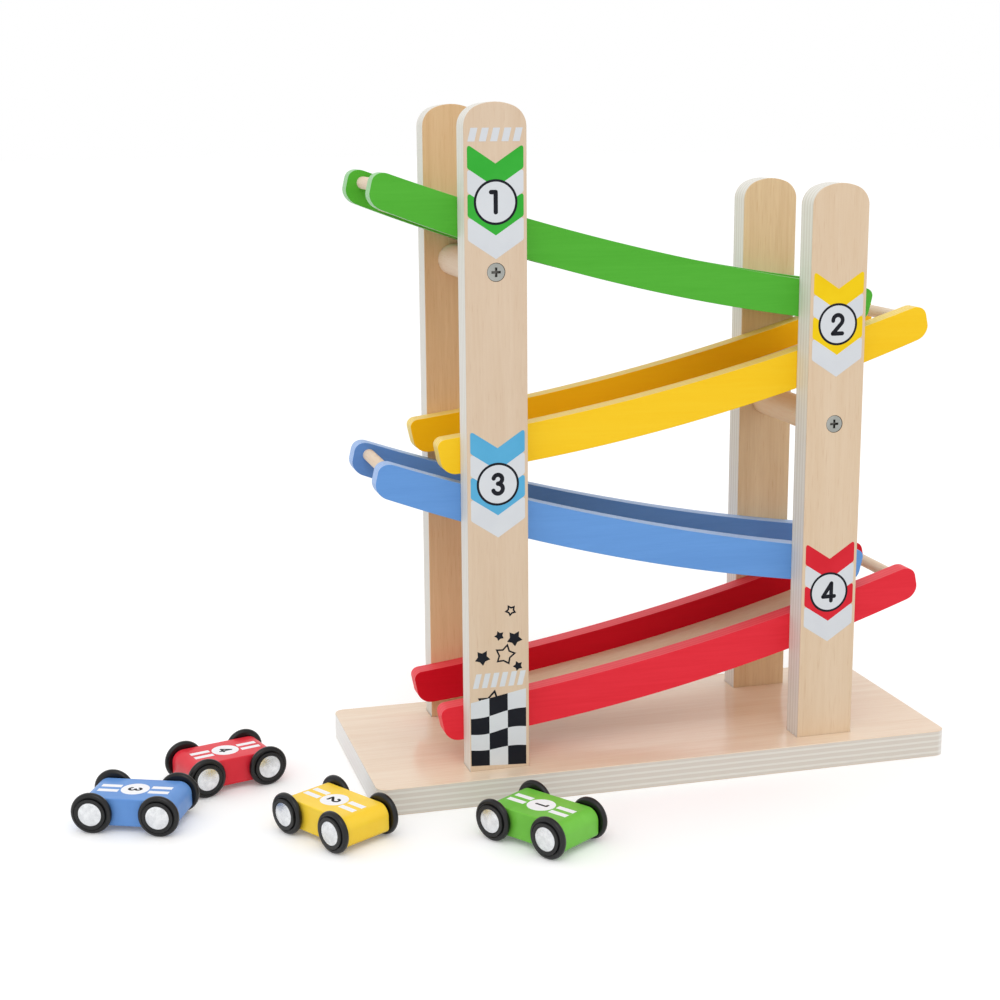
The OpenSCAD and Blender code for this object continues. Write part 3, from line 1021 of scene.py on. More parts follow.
# Painted shade: the cross recess gets a darker zinc so that it reads as shadowed.
SCREW_RECESS_SHADE = CoatFinish("screw_recess_zinc", srgb(122, 121, 117), srgb(106, 105, 101), 0.45,
                          skin=0.1, metal=True)
# Painted shade: seat walls darkened to draw a dark ring round each sunk screw head.
SEAT_PAINTED_SHADE = CoatFinish("screw_seat_wood", srgb(112, 92, 74), srgb(98, 80, 62), 0.7, skin=0.1)
WHITE_INK = ink("white_ink", srgb(220, 223, 226), srgb(216, 219, 223))
ROOF_INK = ink("roof_white_ink", srgb(250, 250, 252), srgb(246, 246, 249))
DARK_INK = ink("dark_ink", srgb(24, 26, 34), srgb(19, 21, 29))
CHEVRON_INKS = {
    "green": ink("green_ink", srgb(58, 178, 58), srgb(52, 172, 52)),
    "yellow": ink("yellow_ink", srgb(248, 210, 18), srgb(244, 204, 12)),
    "blue": ink("blue_ink", srgb(93, 177, 219), srgb(88, 172, 214)),
    "red": ink("red_ink", srgb(222, 40, 54), srgb(216, 35, 49)),
}


@dataclass
class BaseBoard:
    """The board that everything stands on, with a slot for each post and screw seats below."""

    corner_radius: float = 5.0 * MM
    corner_segments: int = 10
    arris: float = 0.3 * MM
    slot_depth: float = 6.0 * MM
    slot_gap: float = 0.25 * MM

    def build(self) -> None:
        """Shape the board, cut its slots and dress it."""
        low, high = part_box("base_board")
        board = Bench.block("base_board_dressed", low, high)
        Bench.round_edges(board, lambda c: abs(c[0].z - c[1].z) > BOARD / 2,
                          self.corner_radius, self.corner_segments)
        Bench.soften(board, self.arris)
        BASE_PLY.dress(board)
        gap = Vector((self.slot_gap, self.slot_gap, 0))
        for side, face in POST_SPOTS:
            foot_low, foot_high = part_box(post_node(side, face))
            floor = Vector((foot_low.x, foot_low.y, high.z - self.slot_depth))
            roof = Vector((foot_high.x, foot_high.y, high.z + BOARD))
            slot = Bench.block("slot", floor - gap, roof + gap)
            BASE_PLY.dress(slot)
            Bench.cut(board, slot)
            Bench.cut(board, FrameScrews().seat(FrameScrews.base_place(side, face)))
        Bench.soften(board)
        Bench.hand_over(board, TRACK_BODY, ["base_board"], "base_ply")


@dataclass
class Post:
    """One upright with an arched top, a sanded arris and a screw seat on its outer face."""

    side: Side
    face: Face
    finish: BoardFinish
    top_radius: float = 20.0 * MM
    corner_radius: float = 9.0 * MM
    crown_slices: int = 4
    corner_slices: int = 10
    arris: float = 0.35 * MM

    def arch_places(self, half: float) -> list[float]:
        """Where the top is sliced across its width, closest along its corners.

        Args:
            half: Half of the post's width.

        Returns:
            Places along x from the post's middle.
        """
        inset = half - self.corner_radius
        lean = math.asin(inset / (self.top_radius - self.corner_radius))
        crown = [self.top_radius * math.sin(lean * i / self.crown_slices)
                 for i in range(1, self.crown_slices)]
        angles = [lean + (QUARTER_TURN - lean) * i / self.corner_slices
                  for i in range(self.corner_slices)]
        corner = [inset + self.corner_radius * math.sin(angle) for angle in angles]
        return [0.0] + [side.value * x for x in crown + corner for side in Side]

    def arch_drop(self, x: float, half: float) -> float:
        """How far the top lies below its crown, x from the post's middle.

        Args:
            x: Distance from the middle.
            half: Half of the post's width.

        Returns:
            The drop.
        """
        inset = half - self.corner_radius
        reach = self.top_radius - self.corner_radius
        if abs(x) * reach < inset * self.top_radius:
            return self.top_radius - math.sqrt(self.top_radius ** 2 - x * x)
        rise = math.sqrt(max(0.0, self.corner_radius ** 2 - (abs(x) - inset) ** 2))
        return self.top_radius - math.sqrt(reach ** 2 - inset ** 2) - rise

    def build(self) -> None:
        """Shape the post, cut its screw seat and dress it."""
        node = post_node(self.side, self.face)
        low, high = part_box(node)
        post = Bench.block(f"{node}_dressed", low, high)
        middle, half = (low.x + high.x) / 2, (high.x - low.x) / 2
        Bench.slice_along(post, [middle + place for place in self.arch_places(half)])
        for vertex in post.data.vertices:
            if high.z - vertex.co.z < WELD:
                vertex.co.z -= self.arch_drop(vertex.co.x - middle, half)
        post.data.update()
        Bench.soften(post, self.arris)
        self.finish.dress(post)
        Bench.cut(post, FrameScrews().seat(FrameScrews.post_place(self.side, self.face)))
        Bench.soften(post)
        Bench.hand_over(post, TRACK_BODY, [node], "post_ply")


@dataclass
class Dowel:
    """A round bar across the track: a spreader between posts or a stop between rails."""

    node: str
    finish: WoodFinish = DOWEL_WOOD
    sides: int = 64
    chamfer: float = 0.4 * MM
    chamfer_segments: int = 2

    def build(self) -> None:
        """Turn the dowel, break its ends and dress it."""
        low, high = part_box(self.node)
        radius, reach = (high.z - low.z) / 2, (high.y - low.y) / 2
        dowel = Bench.rod(f"{self.node}_dressed", radius, -reach, reach, self.sides)
        for end in (-reach, reach):
            Bench.round_edges(dowel, at_height(end), self.chamfer, self.chamfer_segments)
        across = Matrix.Rotation(QUARTER_TURN, 4, "X")
        dowel.data.transform(Matrix.Translation((low + high) / 2) @ across)
        Bench.soften(dowel)
        self.finish.dress(dowel)
        Bench.hand_over(dowel, TRACK_BODY, [self.node], "dowel_wood")


@dataclass
class FrameScrews:
    """The flat-headed cross-recess screws that hold the frame together."""

    head_radius: float = 3.75 * MM
    shank_radius: float = 2.0 * MM
    length: float = 30.0 * MM
    land: float = 0.4 * MM
    recess_length: float = 4.5 * MM
    recess_width: float = 1.2 * MM
    recess_depth: float = 1.4 * MM
    recess_taper: float = 0.75
    rim_segments: int = 2
    seat_gap: float = 0.15 * MM
    sides: int = 48

    SINK = 0.15 * MM

    @staticmethod
    def post_place(side: Side, face: Face) -> Matrix:
        """Where a screw's head sits on a post's outer face, its own z pointing outwards.

        Args:
            side: The post's end of the base board.
            face: The post's side of the track.

        Returns:
            The screw's place.
        """
        low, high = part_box(post_node(side, face))
        bar_low, bar_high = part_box(f"{side.name.lower()}_spreader")
        sink = FrameScrews.SINK
        outer = low.y + sink if face is Face.FRONT else high.y - sink
        spot = Vector(((low.x + high.x) / 2, outer, (bar_low.z + bar_high.z) / 2))
        return Matrix.Translation(spot) @ Matrix.Rotation(-face.value * QUARTER_TURN, 4, "X")

    @staticmethod
    def base_place(side: Side, face: Face) -> Matrix:
        """Where a screw's head sits under a post's foot, its own z pointing down.

        Args:
            side: The post's end of the base board.
            face: The post's side of the track.

        Returns:
            The screw's place.
        """
        low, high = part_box(post_node(side, face))
        spot = Vector(((low.x + high.x) / 2, (low.y + high.y) / 2, FrameScrews.SINK))
        return Matrix.Translation(spot) @ Matrix.Rotation(math.pi, 4, "X")

    def seat(self, place: Matrix) -> Piece:
        """Make the cutter for a screw's countersunk seat, whose finish paints shade on the cut walls.

        Args:
            place: Where the screw's head sits.

        Returns:
            The cutter, in place.
        """
        head, shank = self.head_radius + self.seat_gap, self.shank_radius + self.seat_gap
        cutter = Bench.rod("seat", head, -self.land, self.land * 2, self.sides)
        steps = [(shank, -self.land - head + shank), (shank, -self.length / 4)]
        Bench.step(cutter, False, (head, -self.land), steps, self.sides)
        cutter.data.transform(place)
        SEAT_PAINTED_SHADE.dress(cutter)
        return cutter

    def recess(self, length: float, width: float) -> Piece:
        """Make the tapered cutter for one bar of a screw's cross recess, whose darker finish paints
        shade on the recess walls.

        Args:
            length: Size of the bar along x.
            width: Size of the bar along y.

        Returns:
            The cutter.
        """
        half = Vector((length / 2, width / 2, self.recess_depth))
        slot = Bench.block("slot", -half, half)
        with Bench.editing(slot, Part.FACES, at_height(-self.recess_depth)):
            bpy.ops.transform.resize(value=(self.recess_taper, self.recess_taper, 1.0))
        SCREW_RECESS_SHADE.dress(slot)
        return slot

    def build(self) -> None:
        """Make one screw, copy it to its eight places and dress them."""
        head, shank = self.head_radius, self.shank_radius
        screw = Bench.rod("screw", head, -self.land, 0.0, self.sides)
        steps = [(shank, -self.land - head + shank), (shank, -self.length + 2 * shank),
                 (self.land / 2, -self.length)]
        Bench.step(screw, False, (head, -self.land), steps, self.sides)
        Bench.round_edges(screw, at_height(0.0), self.land / 2, self.rim_segments)
        SCREW.dress(screw)
        Bench.cut(screw, self.recess(self.recess_length, self.recess_width))
        Bench.cut(screw, self.recess(self.recess_width, self.recess_length))
        Bench.soften(screw)
        places = [self.post_place(*spot) for spot in POST_SPOTS]
        places += [self.base_place(*spot) for spot in POST_SPOTS]
        copies = [Bench.twin(screw, "screw_copy", place) for place in places]
        bpy.data.objects.remove(screw, do_unlink=True)
        screws = Bench.join("frame_screws_dressed", copies)
        Bench.hand_over(screws, TRACK_BODY, ["frame_screws"], "screw_steel")


@dataclass(frozen=True)
class RampForm:
    """Sizes that all ramps share. Along a ramp s runs to its high end, n stands square to it."""

    low_reach: float = 101.6 * MM
    high_reach: float = 129.4 * MM
    rail_height: float = 16.8 * MM
    top_radius: float = 1100.0 * MM
    bottom_radius: float = 860.0 * MM
    high_corner: float = 6.0 * MM
    low_top_corner: float = 4.0 * MM
    low_bottom_corner: float = 6.0 * MM
    corner_segments: int = 10
    arris: float = 0.7 * MM
    floor_thickness: float = 3.0 * MM
    floor_depth: float = 11.2 * MM
    floor_groove: float = 3.0 * MM
    floor_low_inset: float = 26.0 * MM
    floor_high_inset: float = 15.5 * MM
    floor_arris: float = 0.25 * MM
    slices: int = 44

    def top(self, s: float) -> float:
        """Height n of a rail's top at s."""
        return self.top_radius - math.sqrt(self.top_radius ** 2 - s * s)

    def bottom(self, s: float) -> float:
        """Height n of a rail's underside at s."""
        return self.bottom_radius - self.rail_height - math.sqrt(self.bottom_radius ** 2 - s * s)

    def rail_height_at(self, s: float, n: float) -> float:
        """Where a point of the straight rail blank comes to lie."""
        return self.bottom(s) + (self.top(s) - self.bottom(s)) * (1 + n / self.rail_height)

    def rail_blank(self) -> Piece:
        """Make one rail about the ramp's middle plane: a straight board, bent to its curves.

        Returns:
            The rail that all ramps copy.
        """
        low, high, under = -self.low_reach, self.high_reach, -self.rail_height
        rail = Bench.block("rail_blank", Vector((low, -RAIL / 2, under)),
                           Vector((high, RAIL / 2, 0)))
        corners = ((high, 0.0, self.high_corner), (high, under, self.high_corner),
                   (low, 0.0, self.low_top_corner), (low, under, self.low_bottom_corner))
        for s, n, radius in corners:
            Bench.round_edges(
                rail, lambda c: at_height(n)(c) and all(abs(p.x - s) < WELD for p in c),
                radius, self.corner_segments)
        self.bend(rail, self.rail_height_at)
        Bench.soften(rail, self.arris)
        return rail

    def floor_blank(self) -> Piece:
        """Make one floor strip about the ramp's middle plane, bent to the rails' curve.

        Returns:
            The floor strip that all ramps copy.
        """
        half = RAMP_HALF - RAIL + self.floor_groove
        under = -self.floor_depth - self.floor_thickness
        low = Vector((self.floor_low_inset - self.low_reach, -half, under))
        high = Vector((self.high_reach - self.floor_high_inset, half, -self.floor_depth))
        floor = Bench.block("floor_blank", low, high)
        self.bend(floor, lambda s, n: self.top(s) + n)
        Bench.soften(floor, self.floor_arris, segments=2)
        return floor

    def bend(self, obj: Piece, height: Callable[[float, float], float]) -> None:
        """Slice a straight blank along its length and lift each of its points to the curve.

        Args:
            obj: The blank.
            height: Gives a point's new n by its s and n.
        """
        pitch = (self.high_reach + self.low_reach) / self.slices
        Bench.slice_along(
            obj, [-self.low_reach + pitch * (i + 0.5) for i in range(self.slices)])
        for vertex in obj.data.vertices:
            vertex.co.z = height(vertex.co.x, vertex.co.z)
        obj.data.update()


@dataclass
class Ramp:
    """One ramp: two painted rails, a floor strip and a stop dowel at the high end."""

    colour: str
    height: float
    tilt: float
    high_side: Side
    stop_chamfer: float = 0.3 * MM

    def place(self, y: float) -> Matrix:
        """Lay a blank on this ramp, y across the track from its middle.

        Args:
            y: Distance from the track's middle.

        Returns:
            The blank's place.
        """
        about = math.pi if self.high_side is Side.LEFT else 0.0
        turn = Matrix.Rotation(about, 4, "Z") @ Matrix.Rotation(-self.tilt, 4, "Y")
        return Matrix.Translation((0, y, self.height)) @ turn

    def build(self, rail: Piece, floor: Piece) -> None:
        """Copy the blanks to this ramp's places and dress them.

        Args:
            rail: The rail that all ramps copy.
            floor: The floor strip that all ramps copy.
        """
        for face in Face:
            node = f"{self.colour}_{face.name.lower()}_rail"
            place = self.place(face.value * (RAMP_HALF - RAIL / 2))
            made = Bench.twin(rail, f"{node}_dressed", place)
            RAMP_PAINTS[self.colour].dress(made)
            Bench.hand_over(made, TRACK_BODY, [node], f"{self.colour}_ramp_paint")
        node = f"{self.colour}_floor"
        strip = Bench.twin(floor, f"{node}_dressed", self.place(0.0))
        FLOOR_PLY.dress(strip)
        Bench.hand_over(strip, TRACK_BODY, [node], "floor_ply")
        Dowel(f"{self.colour}_stop_dowel", chamfer=self.stop_chamfer).build()


@dataclass(frozen=True)
class Ramps:
    """The four ramps, from the lowest up, whose high ends lie right and left by turns."""

    form: RampForm = RampForm()
    lowest: float = 52.6 * MM
    spacing: float = 59.8508 * MM

    TILTS = {"red": 11.4, "blue": 12.9, "yellow": 11.9, "green": 13.2}

    def build(self) -> None:
        """Shape one rail and one floor strip and build every ramp with copies of them."""
        rail, floor = self.form.rail_blank(), self.form.floor_blank()
        for row, (colour, tilt) in enumerate(self.TILTS.items()):
            high_side = Side.LEFT if row % 2 else Side.RIGHT
            height = self.lowest + row * self.spacing
            Ramp(colour, height, math.radians(tilt), high_side).build(rail, floor)
        for blank in (rail, floor):
            bpy.data.objects.remove(blank, do_unlink=True)


class Digit(Enum):
    """The numbers, drawn in even strokes in units of their height, about their middle."""

    ONE = 1
    TWO = 2
    THREE = 3
    FOUR = 4

    def strokes(self) -> list[list[Spot]]:
        """Give the centre lines of this number's strokes, each between two round ends.

        Returns:
            A list of points for each stroke.
        """

        def arc(x: float, y: float, radius: float, start: int, end: int) -> list[Spot]:
            """Sample an arc about a point.

            Args:
                x: The point's x.
                y: The point's y.
                radius: Radius of the arc.
                start: Its first angle in degrees.
                end: Its last angle in degrees.

            Returns:
                Points along the arc.
            """
            steps = max(2, abs(end - start) // DEGREES_A_STEP)
            angles = [math.radians(start + (end - start) * i / steps) for i in range(steps + 1)]
            return [(x + radius * math.cos(a), y + radius * math.sin(a)) for a in angles]

        top = 0.42
        if self is Digit.ONE:
            return [[(-0.2, top), (0.0, top)], [(0.0, top), (0.0, -top)]]
        if self is Digit.TWO:
            neck = arc(0.0, 0.187, 0.233, 185, -42) + [(-0.24, -top)]
            return [neck, [(-0.24, -top), (0.23, -top)]]
        if self is Digit.THREE:
            return [arc(0.0, 0.225, 0.195, 168, -90), arc(0.0, -0.2, 0.22, 90, -160)]
        return [[(0.12, top), (0.12, -top)], [(0.12, top), (-0.29, -0.21)],
                [(-0.29, -0.21), (0.28, -0.21)]]


@dataclass(frozen=True)
class PrintShop:
    """Makes flat printed shapes in the xy plane, x to the right and y up, as thin films."""

    number_rise: float = 0.035 * MM
    star_waist: float = 0.58
    round_sides: int = 72
    top_segments: int = 5
    low_segments: int = 4
    stroke_segments: int = 3
    ball_segments: int = 20
    ball_rings: int = 8

    def film(self, obj: Piece, depth: float, coat: Finish, x: float = 0.0, y: float = 0.0) -> Piece:
        """Turn a flat shape into a film of ink at a place on the print.

        Args:
            obj: The shape.
            depth: How far the film stands off the plane.
            coat: Its ink.
            x: Place to the right.
            y: Place upwards.

        Returns:
            The film.
        """
        Bench.thicken(obj, depth)
        Bench.shift(obj, x, y)
        coat.dress(obj)
        return obj

    def chevron(self, width: float, band: float, drop: float, top_corner: float,
                low_corner: float) -> Piece:
        """Make a downward chevron whose top outer corners are at y = 0.

        Args:
            width: Its width.
            band: Its height at any x.
            drop: How far its middle hangs below its sides.
            top_corner: Radius of its upper outer corners.
            low_corner: Radius of its lower outer corners.

        Returns:
            The flat shape.
        """
        shape = Bench.plate("chevron", width, band)
        Bench.shift(shape, y=-band / 2)
        Bench.slice_along(shape, [0.0])
        with Bench.editing(shape, Part.VERTS, lambda c: abs(c[0].x) < WELD):
            bpy.ops.transform.translate(value=(0, -drop, 0))
        corners = ((0.0, top_corner, self.top_segments), (-band, low_corner, self.low_segments))
        for y, radius, segments in corners:
            Bench.round_corners(
                shape, lambda c: abs(abs(c[0].x) - width / 2) < WELD and abs(c[0].y - y) < WELD,
                radius, segments)
        return shape

    def star(self, radius: float, turn: float, line: float = 0.0) -> Piece:
        """Make a five-pointed star, or its outline where a line width is given.

        Args:
            radius: Radius of its points.
            turn: Its turn.
            line: Width of the outline, or 0 to fill it.

        Returns:
            The flat shape.
        """
        points = 10
        shape = Bench.disc("star", radius, points)
        first = shape.data.vertices[0].co.copy()
        with Bench.editing(shape, Part.VERTS,
                           lambda c: round(first.angle(c[0]) / (math.tau / points)) % 2 == 1):
            bpy.ops.transform.resize(value=(self.star_waist, self.star_waist, 1.0))
        shape.data.transform(Matrix.Rotation(turn, 4, "Z"))
        if line:
            with Bench.editing(shape, Part.FACES):
                bpy.ops.mesh.inset(thickness=line)
                bpy.ops.mesh.delete(type="FACE")
        return shape

    def bar(self, width: float, height: float, slant: float) -> Piece:
        """Make a slanted bar.

        Args:
            width: Its width.
            height: Its height.
            slant: How far its top leans to the right.

        Returns:
            The flat shape.
        """
        shape = Bench.plate("bar", width, height)
        with Bench.editing(shape, Part.VERTS, lambda c: c[0].y > 0):
            bpy.ops.transform.translate(value=(slant, 0, 0))
        return shape

    def stroke(self, points: Sequence[Spot], width: float) -> list[Piece]:
        """Make one stroke of a number: a swept run and a ball at either end.

        Args:
            points: The stroke's centre line.
            width: Its width.

        Returns:
            The run and the balls.
        """
        curve = bpy.data.curves.new("stroke", "CURVE")
        curve.dimensions = "3D"
        curve.bevel_depth = width / 2
        curve.bevel_resolution = self.stroke_segments
        curve.use_fill_caps = True
        spline = curve.splines.new("POLY")
        spline.points.add(len(points) - 1)
        for point, (x, y) in zip(spline.points, points):
            point.co = (x, y, 0, 1)
        Bench.use(Bench.add("stroke", curve))
        bpy.ops.object.convert(target="MESH")
        parts = [bpy.context.object]
        for x, y in (points[0], points[-1]):
            bpy.ops.mesh.primitive_uv_sphere_add(
                segments=self.ball_segments, ring_count=self.ball_rings, radius=width / 2,
                location=(x, y, 0))
            parts.append(Bench.settle("stroke_end"))
        return parts

    def number(self, digit: Digit, height: float, stroke: float, level: float) -> Piece:
        """Make a number of round-ended strokes.

        Args:
            digit: The number.
            height: Its height over the strokes' centre lines and ends.
            stroke: Width of its strokes.
            level: How far the surface that it is printed on stands off the plane.

        Returns:
            The number, about the origin.
        """
        parts = []
        for line in digit.strokes():
            parts += self.stroke([(x * height, y * height) for x, y in line], stroke)
        number = Bench.join("number", parts)
        flat = Matrix.Diagonal((1, 1, 2 * self.number_rise / stroke, 1))
        number.data.transform(Matrix.Translation((0, 0, level)) @ flat)
        DARK_INK.dress(number)
        return number


class Star(NamedTuple):
    """One loose star on a post, in millimetres and degrees, with no line where it is filled."""

    x: float
    z: float
    radius: float
    turn: float
    line: float = 0.0


class Badge(NamedTuple):
    """One numbered badge on a post, at a height in millimetres."""

    colour: str
    digit: Digit
    z: float


@dataclass(frozen=True)
class FlagForm:
    """The checkered flag: sizes at its left edge, and how its edges fall, rise and wave."""

    columns: int = 3
    rows: int = 4
    column_slices: int = 8
    width: float = 24.7 * MM
    shift: float = -0.5 * MM
    bottom: float = 14.5 * MM
    bottom_fall: float = 1.4 * MM
    top: float = 43.1 * MM
    top_rise: float = 4.5 * MM
    wave: float = 0.75 * MM

    def build(self, depth: float) -> Piece:
        """Make the flag as a film, whose rows rise and wave towards its right edge.

        Args:
            depth: How far the film stands off the plane.

        Returns:
            The flag.
        """
        bpy.ops.mesh.primitive_grid_add(
            x_subdivisions=self.columns * self.column_slices, y_subdivisions=self.rows, size=1.0)
        flag = Bench.settle("flag")
        for coat in (WHITE_INK, DARK_INK):
            flag.data.materials.append(coat.material())
        for polygon in flag.data.polygons:
            column = int((polygon.center.x + 0.5) * self.columns)
            row = int((polygon.center.y + 0.5) * self.rows)
            polygon.material_index = (column + row + 1) % 2
        for vertex in flag.data.vertices:
            u, v = vertex.co.x + 0.5, vertex.co.y + 0.5
            bottom = self.bottom - self.bottom_fall * u
            top = self.top + self.top_rise * u
            wave = self.wave * math.sin(math.pi * v) * math.sin(math.tau * u)
            vertex.co.x = vertex.co.x * self.width + self.shift
            vertex.co.y = bottom + (top - bottom) * v - wave
        flag.data.update()
        Bench.thicken(flag, depth)
        return flag


@dataclass
class PostPrint:
    """The print on a front post: numbered chevron badges, and on one bars, stars and a flag."""

    side: Side
    badges: tuple[Badge, ...]
    with_flag: bool = False
    width: float = 23.6 * MM
    bands: int = 4
    band: float = 9.6 * MM
    drop: float = 7.8 * MM
    top_corner: float = 1.8 * MM
    low_corner: float = 0.7 * MM
    badge_top: float = 23.2 * MM
    ring_radius: float = 9.2 * MM
    ring_width: float = 1.0 * MM
    number_height: float = 9.6 * MM
    stroke: float = 1.85 * MM
    bar_share: float = 0.62
    bar_slant: float = 0.25
    first_layer: float = 0.04 * MM
    layer: float = 0.03 * MM
    shop: PrintShop = PrintShop()

    BAR_ROWS = ((5, 279.6, 285.0), (6, 49.4, 55.8))
    STARS = (Star(5.2, 83.1, 2.75, 28, 0.72), Star(0.1, 72.2, 2.3, 22), Star(6.9, 70.5, 3.6, -33),
             Star(2.6, 63.6, 5.0, -14, 0.72), Star(-7.4, 63.0, 3.55, -33),
             Star(8.3, 58.1, 2.3, 21), Star(-3.6, 41.4, 7.1, -13, 0.828))

    def badge(self, badge: Badge) -> list[Piece]:
        """Make one badge: chevrons by turns coloured and white, and a ringed number.

        Args:
            badge: Its colour, number and height.

        Returns:
            The films that make it up.
        """
        films = []
        z = badge.z * MM
        for row in range(self.bands):
            coat = CHEVRON_INKS[badge.colour] if row % 2 == 0 else WHITE_INK
            shape = self.shop.chevron(
                self.width, self.band, self.drop, self.top_corner, self.low_corner)
            y = z + self.badge_top - row * self.band
            films.append(self.shop.film(shape, self.first_layer, coat, 0, y))
        depth = self.first_layer
        rings = (("ring", self.ring_radius, DARK_INK),
                 ("disc", self.ring_radius - self.ring_width, WHITE_INK))
        for name, radius, coat in rings:
            depth += self.layer
            disc = Bench.disc(name, radius, self.shop.round_sides)
            films.append(self.shop.film(disc, depth, coat, 0, z))
        number = self.shop.number(badge.digit, self.number_height, self.stroke, depth)
        Bench.shift(number, y=z)
        return films + [number]

    def slanted_bars(self, count: int, low: float, high: float) -> list[Piece]:
        """Make a row of plain white slanted bars between two heights.

        Args:
            count: Number of bars.
            low: Height of their feet.
            high: Height of their tops.

        Returns:
            The bars.
        """
        pitch = self.width / count
        slant = (high - low) * self.bar_slant
        bars = []
        for i in range(count):
            shape = self.shop.bar(pitch * self.bar_share, high - low, slant)
            x = (i - (count - 1) / 2) * pitch - slant / 2
            bars.append(self.shop.film(shape, self.first_layer, WHITE_INK, x, (low + high) / 2))
        return bars

    def star(self, star: Star) -> Piece:
        """Make one of the loose stars above the flag."""
        shape = self.shop.star(star.radius * MM, math.radians(star.turn), star.line * MM)
        return self.shop.film(shape, self.first_layer, DARK_INK, star.x * MM, star.z * MM)

    def build(self) -> None:
        """Print everything on the post's outer face."""
        films = [film for badge in self.badges for film in self.badge(badge)]
        if self.with_flag:
            for count, low, high in self.BAR_ROWS:
                films += self.slanted_bars(count, low * MM, high * MM)
            films += [self.star(star) for star in self.STARS]
            films.append(FlagForm().build(self.first_layer + self.layer))
        node = post_node(self.side, Face.FRONT)
        printed = Bench.join(f"{node}_print", films)
        low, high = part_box(node)
        spot = Vector(((low.x + high.x) / 2, low.y, 0))
        upright = Matrix.Rotation(QUARTER_TURN, 4, "X")
        printed.data.transform(Matrix.Translation(spot) @ upright)
        Bench.hand_over(printed, TRACK_BODY)


@dataclass(frozen=True)
class WheelForm:
    """Sizes that all wheels and hub caps share. A wheel's own z points away from its car."""

    radius: float = 8.8 * MM
    thickness: float = 2.8 * MM
    wheelbase: float = 29.0 * MM
    gap: float = 0.55 * MM
    shoulder: float = 1.288 * MM
    shoulder_steps: int = 6
    boss_radius: float = 2.7 * MM
    boss_height: float = 0.25 * MM
    rim_radius: float = 6.8 * MM
    rim_rise: float = 0.8 * MM
    rim_draft: float = 0.25 * MM
    groove_width: float = 0.4 * MM
    groove_depth: float = 0.4 * MM
    arris: float = 0.12 * MM
    hub_radius: float = 5.1 * MM
    hub_recess: float = 0.6 * MM
    cap_radius: float = 4.95 * MM
    cap_rim: float = 0.45 * MM
    cap_dome: float = 0.5 * MM
    cap_rings: int = 10
    sides: int = 80

    def tyre(self) -> Piece:
        """Turn one wheel with its round tread, groove, raised rim and hub recess.

        Returns:
            The wheel that all cars copy.
        """
        low, high = self.shoulder, self.thickness - self.shoulder
        face = self.thickness + self.rim_rise
        wheel = Bench.rod("tyre_blank", self.radius, low, high, self.sides)
        arc = [QUARTER_TURN * i / self.shoulder_steps for i in range(1, self.shoulder_steps + 1)]
        shoulder = [(self.radius - self.shoulder * (1 - math.cos(a)), self.shoulder * math.sin(a))
                    for a in arc]
        lip, floor = self.rim_radius + self.groove_width, self.thickness - self.groove_depth
        outer = [(radius, high + rise) for radius, rise in shoulder]
        outer += [(lip, self.thickness), (lip, floor), (self.rim_radius, floor),
                  (self.rim_radius - self.rim_draft, face), (self.hub_radius, face),
                  (self.hub_radius, face - self.hub_recess)]
        inner = [(radius, low - rise) for radius, rise in shoulder]
        inner += [(self.boss_radius, 0.0), (self.boss_radius, -self.boss_height)]
        Bench.step(wheel, True, (self.radius, high), outer, self.sides)
        Bench.step(wheel, False, (self.radius, low), inner, self.sides)
        Bench.soften(wheel, self.arris, segments=2)
        return wheel

    def cap(self) -> Piece:
        """Turn one domed hub cap, seated in the wheel's recess.

        Returns:
            The hub cap that all cars copy.
        """
        seat = self.thickness + self.rim_rise - self.hub_recess
        rim = seat + self.cap_rim
        cap = Bench.rod("cap_blank", self.cap_radius, seat, rim, self.sides)
        ball = (self.cap_radius ** 2 + self.cap_dome ** 2) / (2 * self.cap_dome)
        radii = [self.cap_radius * (1 - i / self.cap_rings) for i in range(1, self.cap_rings)]
        steps = [(r, rim + math.sqrt(ball ** 2 - r * r) - ball + self.cap_dome) for r in radii]
        Bench.step(cap, True, (self.cap_radius, rim), steps, self.sides)
        Bench.soften(cap)
        return cap


